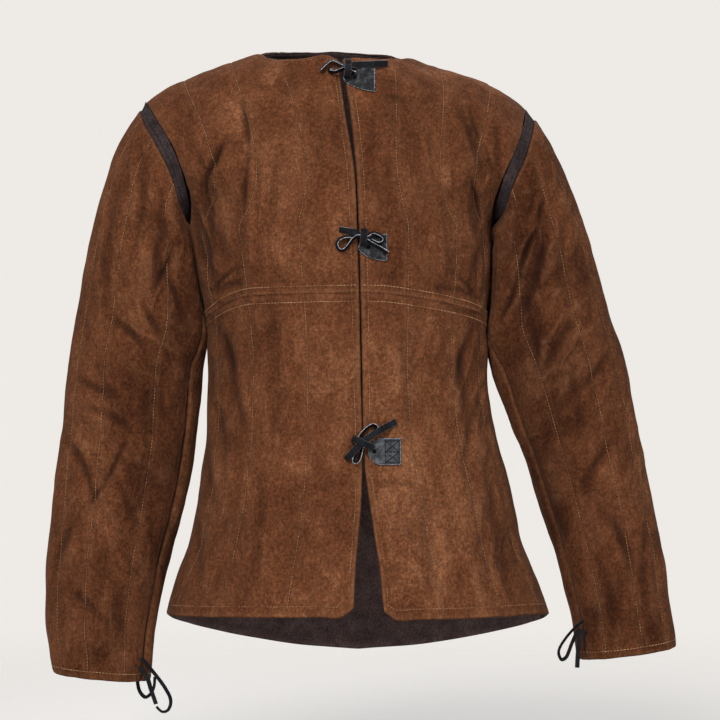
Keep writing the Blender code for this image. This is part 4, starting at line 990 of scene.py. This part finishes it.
sewing = sewing_tree()
tan_thread = thread_material("tan_thread", (0.21, 0.105, 0.048), (0.52, 0.32, 0.17))
worn_thread = thread_material("worn_thread", (0.12, 0.052, 0.023), (0.34, 0.185, 0.092))
dark_thread = thread_material("dark_thread", (0.020, 0.015, 0.015), (0.085, 0.062, 0.060))
black_thread = thread_material("black_thread", (0.004, 0.004, 0.005), (0.012, 0.012, 0.014))


# How far a thread lies above the cloth, and how far apart the points of a drawn line are
THREAD_LIFT = 0.12
DRAWN_STEP = 3.0


def line_on(surface, edge, distance, start=0.0, end=0.0, lift=THREAD_LIFT):
    """A line on the outer surface a distance in from an edge, or down a numbered column, less a
    length at its start and its end."""
    outer = surface["outer"] + surface["normal"] * lift
    across, up = surface["length across"], surface["length up"]
    line = []
    if edge == "column":
        line = outer[:, distance]
    elif edge == "first":
        for row, places in zip(outer, across):
            line.append([np.interp(distance, places, row[:, axis]) for axis in range(3)])
    else:
        for column, places in zip(outer.swapaxes(0, 1), up.T):
            place = distance if edge == "bottom" else places[-1] - distance
            line.append([np.interp(place, places, column[:, axis]) for axis in range(3)])
    line = np.array(line)
    run = np.concatenate(([0.0], np.cumsum(np.linalg.norm(np.diff(line, axis=0), axis=1))))
    places = np.linspace(start, run[-1] - end, max(2, int((run[-1] - start - end) / DRAWN_STEP)))
    return np.stack([np.interp(places, run, line[:, axis]) for axis in range(3)], axis=1)


def sew(name, lines, thread, pitch=STITCH_PITCH, length=STITCH_LENGTH, width=THREAD_WIDTH):
    """Sews the given lines with one thread."""
    points = np.concatenate(lines) * MM
    links = []
    first = 0
    for line in lines:
        links.extend((first + i, first + i + 1) for i in range(len(line) - 1))
        first += len(line)
    drawn = bpy.data.meshes.new(name + "_lines")
    drawn.from_pydata(points.tolist(), links, [])
    carrier = set_down(name + "_lines", drawn)
    stage = carrier.modifiers.new("sewing", "NODES")
    stage.node_group = sewing
    values = {"Pitch": pitch * MM, "Stitch length": length * MM, "Thread width": width * MM, "Thread": thread}
    for socket in sewing.interface.items_tree:
        if socket.in_out == "INPUT" and socket.name in values:
            stage[socket.identifier] = values[socket.name]
    depsgraph = bpy.context.evaluated_depsgraph_get()
    mesh = bpy.data.meshes.new_from_object(carrier.evaluated_get(depsgraph))
    bpy.data.objects.remove(carrier, do_unlink=True)
    mesh.name = name
    item = set_down(name, mesh)
    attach(item, "root")


def sew_quilting(node, start, end):
    """Sews a piece's upright lines, less a length at their start and end."""
    surface = panels[node]
    sew(node + "_quilting", [line_on(surface, "column", line, start, end) for line in surface["lines"]],
        worn_thread)


# The thread in the waist seam and the thread on the strips: pitch, length and width of its stitches
SEAM_THREAD = (4.3, 2.6, 0.7)
STRIP_THREAD = (3.2, 2.4, 0.8)
SEAM_MARGIN = 2.6
SEAM_LIFT = -0.15
STRIP_MARGINS = {"bottom": 3.0, "top": 2.5}

for node in ("front_right_bodice", "front_left_bodice"):
    surface = panels[node]
    sew_quilting(node, WAIST_MARGIN, NECK_MARGIN)
    sew(node + "_seam", [line_on(surface, "bottom", SEAM_MARGIN, 2, 0, SEAM_LIFT)], worn_thread, *SEAM_THREAD)
    sew(node + "_edges", [line_on(surface, "first", EDGE_MARGIN, 0, NECK_MARGIN),
                          line_on(surface, "top", NECK_MARGIN, EDGE_MARGIN, 0)], worn_thread)
    sew(node + "_waist", [line_on(surface, "bottom", WAIST_MARGIN, EDGE_MARGIN - 3, 0)], tan_thread)
for node in ("front_right_skirt", "front_left_skirt"):
    surface = panels[node]
    sew_quilting(node, HEM_MARGIN, WAIST_MARGIN)
    sew(node + "_edges", [line_on(surface, "first", EDGE_MARGIN, HEM_MARGIN, 0),
                          line_on(surface, "bottom", HEM_MARGIN, EDGE_MARGIN, 0)], worn_thread)
    sew(node + "_waist", [line_on(surface, "top", WAIST_MARGIN, EDGE_MARGIN - 3, 0)], tan_thread)
sew_quilting("back_bodice", WAIST_MARGIN, NECK_MARGIN)
sew("back_bodice_edges", [line_on(panels["back_bodice"], "bottom", WAIST_MARGIN),
                          line_on(panels["back_bodice"], "top", NECK_MARGIN)], tan_thread)
sew_quilting("back_skirt", HEM_MARGIN, WAIST_MARGIN)
sew("back_skirt_edges", [line_on(panels["back_skirt"], "top", WAIST_MARGIN),
                         line_on(panels["back_skirt"], "bottom", HEM_MARGIN)], tan_thread)
surface = panels["back_lining"]
inside = dict(surface, outer=surface["inner"], normal=-surface["normal"])
sew("back_lining_hem", [line_on(inside, "bottom", LINING_MARGIN)], dark_thread)
for side in ("right", "left"):
    for part in ("top", "under"):
        node = "sleeve_%s_%s" % (part, side)
        sew_quilting(node, 3, CUFF_MARGIN)
        sew(node + "_cuff", [line_on(panels[node], "top", CUFF_MARGIN)], tan_thread)
    node = "armhole_strip_" + side
    sew(node + "_sewing", [line_on(panels[node], *margin) for margin in STRIP_MARGINS.items()],
        dark_thread, *STRIP_THREAD)

# Thongs of the ties, cut from black leather, smooth on the face and raw light grey at their cut edges.
# Three pairs tie the fronts, each wound round and drawn up on its tab; five short ones hang at the cuffs.


def cut_edge_effect():
    """The raw edge of cut leather over its face, where the mask raw is 1."""
    inputs = {"Colour": "Color", "Raw": "Float", "Grain": "Float", "Low": "Float", "High": "Float",
              "Dull": "Color", "Pale": "Color"}
    group, given, result = effect("cut edge", inputs, "Colour", "Color")
    share = add_node(group, "ShaderNodeMapRange", Value=given["Grain"], From_Min=given["Low"],
                     From_Max=given["High"])
    edge = mix_colour(group, share.outputs[0], given["Dull"], given["Pale"])
    feed(group, result, mix_colour(group, given["Raw"], given["Colour"], edge))
    return group


cut_edge_group = cut_edge_effect()


def cut_edge(tree, colour, fine, low, dull, high, pale):
    return add_node(tree, "ShaderNodeGroup", node_tree=cut_edge_group, Colour=colour, Raw=stored(tree, "raw"),
                    Grain=fine, Low=low, High=high, Dull=dull, Pale=pale).outputs[0]


def thong_leather():
    material, tree, shader = plain_finish("black_leather", 0.75, 0.10)
    fine = grain(tree, 700.0, detail=3.0)
    shade = grain(tree, 90.0, detail=4.0)
    colour = two_tones(tree, shade, 0.3, (0.0035, 0.0035, 0.0045), 0.7, (0.013, 0.0135, 0.016))
    colour = cut_edge(tree, colour, fine, 0.38, (0.04, 0.045, 0.055), 0.62, (0.48, 0.51, 0.56))
    feed(tree, shader.inputs["Base Color"], colour)
    roughen(tree, shader, (fine, 0.3, 0.0004))
    return material


leather = thong_leather()
# How thin a thong is beside its solid, how uneven, and the distance between its fine points
THONG_THINNING = 0.65
THONG_UNEVENNESS = 0.12
THONG_STEP = 0.9
# A thong's section: across, through, and whether it is the raw cut edge
THONG_SECTION = ((-0.42, 0.5, 0), (0.42, 0.5, 0), (0.485, 0.38, 0), (0.495, 0.34, 1), (0.5, 0.15, 1),
                 (0.5, -0.15, 1), (0.495, -0.34, 1), (0.485, -0.38, 0), (0.42, -0.5, 0), (-0.42, -0.5, 0),
                 (-0.485, -0.38, 0), (-0.495, -0.34, 1), (-0.5, -0.15, 1), (-0.5, 0.15, 1), (-0.495, 0.34, 1),
                 (-0.485, 0.38, 0))


def next_ring(near, used, last):
    """The four corners that follow the last four along a strap, or none at its end."""
    steps = [near[corner] - used for corner in last]
    ways = []
    for turn in (-1, 1):
        ahead = [steps[k] & steps[(k + turn) % 4] for k in range(4)]
        if all(len(found) == 1 for found in ahead):
            ahead = [found.pop() for found in ahead]
            ways.append((sum((a.co - b.co).length for a, b in zip(ahead, last)), ahead))
    return min(ways, key=lambda way: way[0])[1] if ways else None


def strap_rings(node):
    """The four-cornered rings along a strap's solid, in millimetres, from one end to the other."""
    strap = bmesh.new()
    strap.from_mesh(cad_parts[node].data)
    bmesh.ops.remove_doubles(strap, verts=strap.verts, dist=WELD)
    near = {corner: {edge.other_vert(corner) for edge in corner.link_edges} for corner in strap.verts}
    for face, edge in ((face, edge) for face in strap.faces for edge in face.edges):
        twin = [other for other in edge.link_faces if other is not face][0]
        ring = list(dict.fromkeys([*face.verts, *twin.verts]))
        inner_edges = sum(1 for a in ring for b in near[a] if b in ring) // 2
        outward = [near[corner] - set(ring) for corner in ring]
        if inner_edges != 5 or len(set().union(*outward)) != 4:
            continue
        a, c = edge.verts
        b, d = (corner for corner in ring if corner not in (a, c))
        rings = [[a, b, c, d]]
        used = set(rings[0])
        ahead = next_ring(near, used, rings[-1])
        while ahead:
            rings.append(ahead)
            used.update(ahead)
            ahead = next_ring(near, used, ahead)
        if len(used) == len(strap.verts):
            return np.array([[corner.co for corner in ring] for ring in rings]) / MM
    raise RuntimeError("no rings in " + node)


def tube_faces(rings):
    """The faces of a tube through rings of points, and of its two ends."""
    index = np.arange(rings.shape[0] * rings.shape[1]).reshape(rings.shape[:2])
    following = np.roll(index, -1, axis=1)
    sides = np.stack((index[:-1], following[:-1], following[1:], index[1:]), axis=-1).reshape(-1, 4)
    return sides.tolist() + [index[0][::-1].tolist(), index[-1].tolist()]


def fine_strap(node):
    """A strap's middle line in fine steps, with its width and its thickness as arrows."""
    rings = strap_rings(node)
    middle = rings.mean(axis=1)
    first = rings[:, 1] + rings[:, 2] - rings[:, 0] - rings[:, 3]
    second = rings[:, 2] + rings[:, 3] - rings[:, 0] - rings[:, 1]
    if np.linalg.norm(first, axis=1).mean() < np.linalg.norm(second, axis=1).mean():
        first, second = second, first
    places = places_along(middle[:, None], 0, THONG_STEP)
    fine = finer(np.stack((middle, first / 2, second / 2), axis=1), 0, places)
    return fine[:, 0], fine[:, 1], fine[:, 2]


def strap_mesh(name, node, seed, leaning, rawness=1.0):
    """A thong in the place of its solid, leaning over by some degrees."""
    middle, wide, deep = fine_strap(node)
    deep = deep * THONG_THINNING
    lean = math.radians(leaning)
    broad = np.linalg.norm(wide, axis=1, keepdims=True)
    thick = np.linalg.norm(deep, axis=1, keepdims=True)
    wide, deep = ((wide / broad * math.cos(lean) + deep / thick * math.sin(lean)) * broad,
                  (deep / thick * math.cos(lean) - wide / broad * math.sin(lean)) * thick)
    rings = np.stack([middle + wide * across + deep * through for across, through, _ in THONG_SECTION],
                     axis=1)
    wobble = np.array([noise.noise(p) for p in (rings.reshape(-1, 3) / 3.0 + seed).tolist()])
    rings = rings + deep[:, None] * THONG_UNEVENNESS * wobble.reshape(rings.shape[:2])[..., None]
    raw = np.tile([row[2] * rawness for row in THONG_SECTION], len(rings))
    item = closed_shape(name, rings.reshape(-1, 3), tube_faces(rings), leather, {"raw": raw}, smooth=False)
    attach(item, "root")
    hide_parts(node)
    length = np.linalg.norm(np.diff(middle, axis=0), axis=1).sum() * MM
    width = np.linalg.norm(wide, axis=1).mean() * MM
    return item, middle * MM, length, width


# How far the thongs at the cuffs lean over, in degrees; their edges are blacked
CUFF_LEAN = 38
for node, far_end in (("cuff_tie_right_loop", "object"), ("cuff_tie_right_long", "object"),
                      ("cuff_tie_right_end", "bare"), ("cuff_tie_left_loop", "object"),
                      ("cuff_tie_left_end", "bare")):
    item, path, length, width = strap_mesh(node + "_thong", node, 2.0, CUFF_LEAN, rawness=0.0)

# How far each front thong leans over, so that its face shows beside its cut edge
LEANING = {"tie_breast_thong_right": 18, "tie_breast_thong_left": 20, "tie_breast_wrap": 0,
           "tie_waist_thong_right": 20, "tie_waist_thong_left": 22, "tie_waist_wrap": 0,
           "tie_skirt_thong_right": 0, "tie_skirt_thong_left": 22, "tie_skirt_wrap": 0}
for node, leaning in LEANING.items():
    strap_mesh(node + "_leather", node, 5.0, leaning)

# Tabs on the left front, cut from black leather with a round end and a hole for the thongs, a little
# rumpled, pale at the cut edge. The lowest is held down by a sewn box with two crosses.

TAB_THICKNESS = 1.3
HOLE_RADIUS = 2.7
# How far the hole's inside goes down, ring by ring
HOLE_DEPTHS = (1.2, 1.1, 0.4)
# How far out and how deep the cut edge stands
TAB_RIM = ((0.25, 0.3), (0.25, 1.0))
# How far in front of the garment a line of sight starts
RAY_START = -400.0
# Each tab: left and right end, low and high edge, length of the round end, how pointed it is, hole,
# unevenness, seed
TABS = {"tie_breast_tab": (13.0, 51.0, -57.0, -25.0, 37.0, 1.3, 26.8, -39.2, 1.0, 1.0),
        "tie_waist_tab": (31.0, 65.2, -262.3, -231.0, 30.0, 1.15, 43.0, -246.2, 1.1, 4.0),
        "tie_skirt_tab": (43.0, 81.9, -506.0, -474.5, 16.0, 1.0, 50.1, -490.2, 0.5, 7.0)}


def tab_leather(name, dark, middling, pale):
    material, tree, shader = plain_finish(name, 0.7, 0.12)
    pores = grain(tree, 620.0, detail=4.0, rough=0.7)
    shade = grain(tree, 140.0, detail=4.0, rough=0.65, twist=0.6)
    colour = ramp(tree, shade, ((0.32, dark), (0.50, middling), (0.66, pale)))
    speckled = ramp(tree, pores, ((0.3, (0.6, 0.6, 0.6)), (0.7, (1.45, 1.45, 1.45))))
    colour = mix_colour(tree, 0.8, colour, speckled, "MULTIPLY")
    colour = cut_edge(tree, colour, pores, 0.42, (0.03, 0.033, 0.038), 0.64, (0.34, 0.37, 0.41))
    # Painted shade: near-black down inside the hole
    colour = mix_colour(tree, stored(tree, "hole"), colour, (0.002, 0.002, 0.002))
    feed(tree, shader.inputs["Base Color"], colour)
    roughen(tree, shader, (shade, 0.5, 0.0006), (pores, 0.4, 0.0003))
    return material


def seen_surface(mesh):
    """A mesh in millimetres, to be looked at along a line."""
    return BVHTree.FromPolygons([corner.co / MM for corner in mesh.vertices],
                                [tuple(face.vertices) for face in mesh.polygons])


def seen_at(surface, x, z):
    """The first spot on a surface that a line from the front meets, or none."""
    return surface.ray_cast(Vector((x, RAY_START, z)), Vector((0, 1, 0)))[0]


def tab_mesh(name, node, cloth):
    """A tab laid on the cloth: rings from the hole out to the cut edge, then the back."""
    left, right, low, high, rounded, pointed, hole_x, hole_z, rumple, seed = TABS[node]
    outer = cloth["outer"]
    index = np.arange(outer.shape[0] * outer.shape[1]).reshape(outer.shape[:2])
    laid_on = BVHTree.FromPolygons(outer.reshape(-1, 3).tolist(), grid_faces(index).tolist())
    tab = seen_surface(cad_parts[node].data)
    half = (high - low) / 2
    middle = (high + low) / 2
    outline = [(left + rounded - rounded * max(0.0, math.sin(turn)) ** pointed,
                middle + half * math.copysign(abs(math.cos(turn)) ** pointed, math.cos(turn)))
               for turn in np.linspace(0, math.pi, 49)]
    outline += [(left + rounded + (right - left - rounded) * share, low)
                for share in np.linspace(0, 1, 13)[1:]]
    outline += [(right, low + (high - low) * share) for share in np.linspace(0, 1, 19)[1:]]
    outline += [(right + (left + rounded - right) * share, high) for share in np.linspace(0, 1, 13)[1:-1]]
    outline = np.array(outline) - (hole_x, hole_z)
    around = len(outline)
    reach = np.linalg.norm(outline, axis=1, keepdims=True)
    near = outline / reach * HOLE_RADIUS
    rings = [near * share for share in (0.05, 0.5, 0.85)]
    rings += [near * (1 - share) + outline * share for share in np.linspace(0.0, 1.0, 15)]
    flat = np.array(rings) + np.array((hole_x, hole_z))
    pairs = [(seen_at(laid_on, x, z), seen_at(tab, x, z)) for x, z in flat[10]]
    lift = float(np.median([under.y - over.y for under, over in pairs if under and over]))
    depth = np.zeros(flat.shape[:2])
    for i in range(flat.shape[0]):
        for k in range(around):
            x, z = flat[i, k]
            spot = seen_at(laid_on, x, z)
            if spot is None:
                spot = laid_on.find_nearest(Vector((x, outer[..., 1].min(), z)))[0]
            swell = noise.noise(Vector((x / 9.0, z / 9.0, seed)))
            swell += 0.4 * noise.noise(Vector((x / 4.0, z / 4.0, seed)))
            depth[i, k] = spot.y - lift - max(0.0, rumple * (0.4 + swell)) * (1 if i > 2 else 0.3)
    depth[:3] += np.array(HOLE_DEPTHS)[:, None]
    front = np.stack((flat[..., 0], depth, flat[..., 1]), axis=-1)
    rim = front[-1]
    way = np.column_stack((outline[:, 0] / reach[:, 0], 0 * reach[:, 0], outline[:, 1] / reach[:, 0]))
    under = front[::-1] + np.array((0.0, TAB_THICKNESS, 0.0))
    edges = [(rim + way * out + (0, down, 0))[None] for out, down in TAB_RIM]
    rings = np.concatenate((front, *edges, under[:1], under[-1:]))
    raw = np.zeros(len(rings))
    raw[len(front) - 1:len(front) + 2] = 1.0
    # The rings down the hole, which take painted shade
    hole = np.zeros(len(rings))
    hole[:3] = 1.0
    skin = worn_tab_skin if node == "tie_skirt_tab" else tab_skin
    marks = {"raw": np.repeat(raw, around), "hole": np.repeat(hole, around)}
    item = closed_shape(name, rings.reshape(-1, 3), tube_faces(rings), skin, marks)
    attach(item, "root")
    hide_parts(node)
    return item


tab_skin = tab_leather("tab_leather", (0.006, 0.0062, 0.0070), (0.018, 0.0185, 0.0205), (0.058, 0.060, 0.065))
worn_tab_skin = tab_leather("worn_tab_leather", (0.017, 0.018, 0.021), (0.044, 0.047, 0.053),
                            (0.092, 0.098, 0.107))
for node in TABS:
    cloth = panels["front_left_skirt" if "skirt" in node else "front_left_bodice"]
    item = tab_mesh(node + "_leather", node, cloth)

# The corners of the sewn box on the lowest tab, and its thread: pitch, length, width and how far it stands
TAB_SEWING = ((63.3, -477.6), (80.0, -477.6), (80.0, -503.6), (63.3, -503.6))
TAB_THREAD = (2.4, 2.6, 1.5)
TAB_THREAD_LIFT = 0.2
middle_z = (TAB_SEWING[0][1] + TAB_SEWING[2][1]) / 2
(left_x, top_z), (right_x, _), (_, low_z), _ = TAB_SEWING
runs = [((left_x, top_z), (right_x, top_z), (right_x, low_z), (left_x, low_z), (left_x, top_z)),
        ((left_x, middle_z), (right_x, middle_z)),
        ((left_x, top_z), (right_x, middle_z)), ((right_x, top_z), (left_x, middle_z)),
        ((left_x, middle_z), (right_x, low_z)), ((right_x, middle_z), (left_x, low_z))]
tab_surface = seen_surface(item.data)
lines = []
for run in runs:
    line = []
    for (x0, z0), (x1, z1) in zip(run, run[1:]):
        for share in np.linspace(0, 1, 9)[:-1]:
            line.append((x0 + (x1 - x0) * share, z0 + (z1 - z0) * share))
    line.append(run[-1])
    spots = [seen_at(tab_surface, x, z) for x, z in line]
    lines.append(np.array([(spot.x, spot.y - TAB_THREAD_LIFT, spot.z) for spot in spots if spot is not None]))
sew("tie_skirt_tab_sewing", lines, black_thread, *TAB_THREAD)

# Camera, light and a plain pale floor: the camera stands straight in front, as the photograph's did, with
# a soft light from high on the left, a weaker one from the right and one from behind.

camera = set_down("camera", bpy.data.cameras.new("camera"))
camera.data.lens = 112.0
camera.location = (0.033, -2.8, -0.381)
camera.rotation_euler = (math.radians(90), 0, 0)
bpy.context.scene.camera = camera


def soft_light(name, place, aim, size, power, colour):
    light = bpy.data.lights.new(name, "AREA")
    light.shape = "RECTANGLE"
    light.size, light.size_y = size
    light.energy = power
    light.color = colour
    item = set_down(name, light)
    item.location = place
    item.rotation_euler = (Vector(aim) - Vector(place)).to_track_quat("-Z", "Y").to_euler()


soft_light("key", (-0.7, -2.3, 1.4), (0.0, 0, -0.35), (1.1, 1.1), 82.0, (1.0, 0.98, 0.95))
soft_light("fill", (1.9, -2.2, 0.4), (0.1, 0, -0.45), (1.6, 1.6), 24.0, (0.98, 0.99, 1.0))
soft_light("back", (0.3, 1.7, 1.9), (0, 0.1, -0.4), (1.6, 1.6), 34.0, (1.0, 1.0, 1.0))

# The pale room: what the camera sees of it is lighter than the light that it sheds
world = bpy.data.worlds.new("studio")
bpy.context.scene.world = world
world.use_nodes = True
room = world.node_tree
shed = room.nodes["Background"]
feed(room, shed.inputs["Color"], (0.95, 0.96, 1.0))
feed(room, shed.inputs["Strength"], 0.36)
seen = add_node(room, "ShaderNodeBackground", Color=(0.855, 0.825, 0.790))
rays = add_node(room, "ShaderNodeLightPath")
either = add_node(room, "ShaderNodeMixShader", Fac=rays.outputs["Is Camera Ray"])
feed(room, either.inputs[1], shed.outputs[0])
feed(room, either.inputs[2], seen.outputs[0])
feed(room, room.nodes["World Output"].inputs[0], either.outputs[0])

# The floor's height, radius and number of sides, and from how far out it fades
FLOOR_HEIGHT = -0.98
FLOOR_RADIUS = 2.4
FLOOR_FADE = 0.7
FLOOR_SIDES = 96


def floor_material():
    """Pale paper that fades out towards the floor's rim."""
    material, tree, shader = plain_finish("paper", 1.0, 0.0)
    feed(tree, shader.inputs["Base Color"], (0.90, 0.88, 0.85))
    place = add_node(tree, "ShaderNodeTexCoord").outputs["Object"]
    away = add_node(tree, "ShaderNodeVectorMath", operation="LENGTH", Vector=place)
    fade = add_node(tree, "ShaderNodeMapRange", interpolation_type="SMOOTHSTEP", Value=away.outputs["Value"],
                    From_Min=FLOOR_FADE, From_Max=FLOOR_RADIUS, To_Min=1.0, To_Max=0.0)
    feed(tree, shader.inputs["Alpha"], fade.outputs["Result"])
    return material


turns = [math.tau * step / FLOOR_SIDES for step in range(FLOOR_SIDES)]
rim = [(FLOOR_RADIUS * math.cos(turn), FLOOR_RADIUS * math.sin(turn), 0.0) for turn in turns]
plate = bpy.data.meshes.new("floor")
plate.from_pydata(rim, [], [tuple(range(FLOOR_SIDES))])
plate.materials.append(floor_material())
ground = set_down("floor", plate)
ground.location = (0.0, 0.0, FLOOR_HEIGHT)
bpy.context.scene.view_settings.view_transform = "Standard"
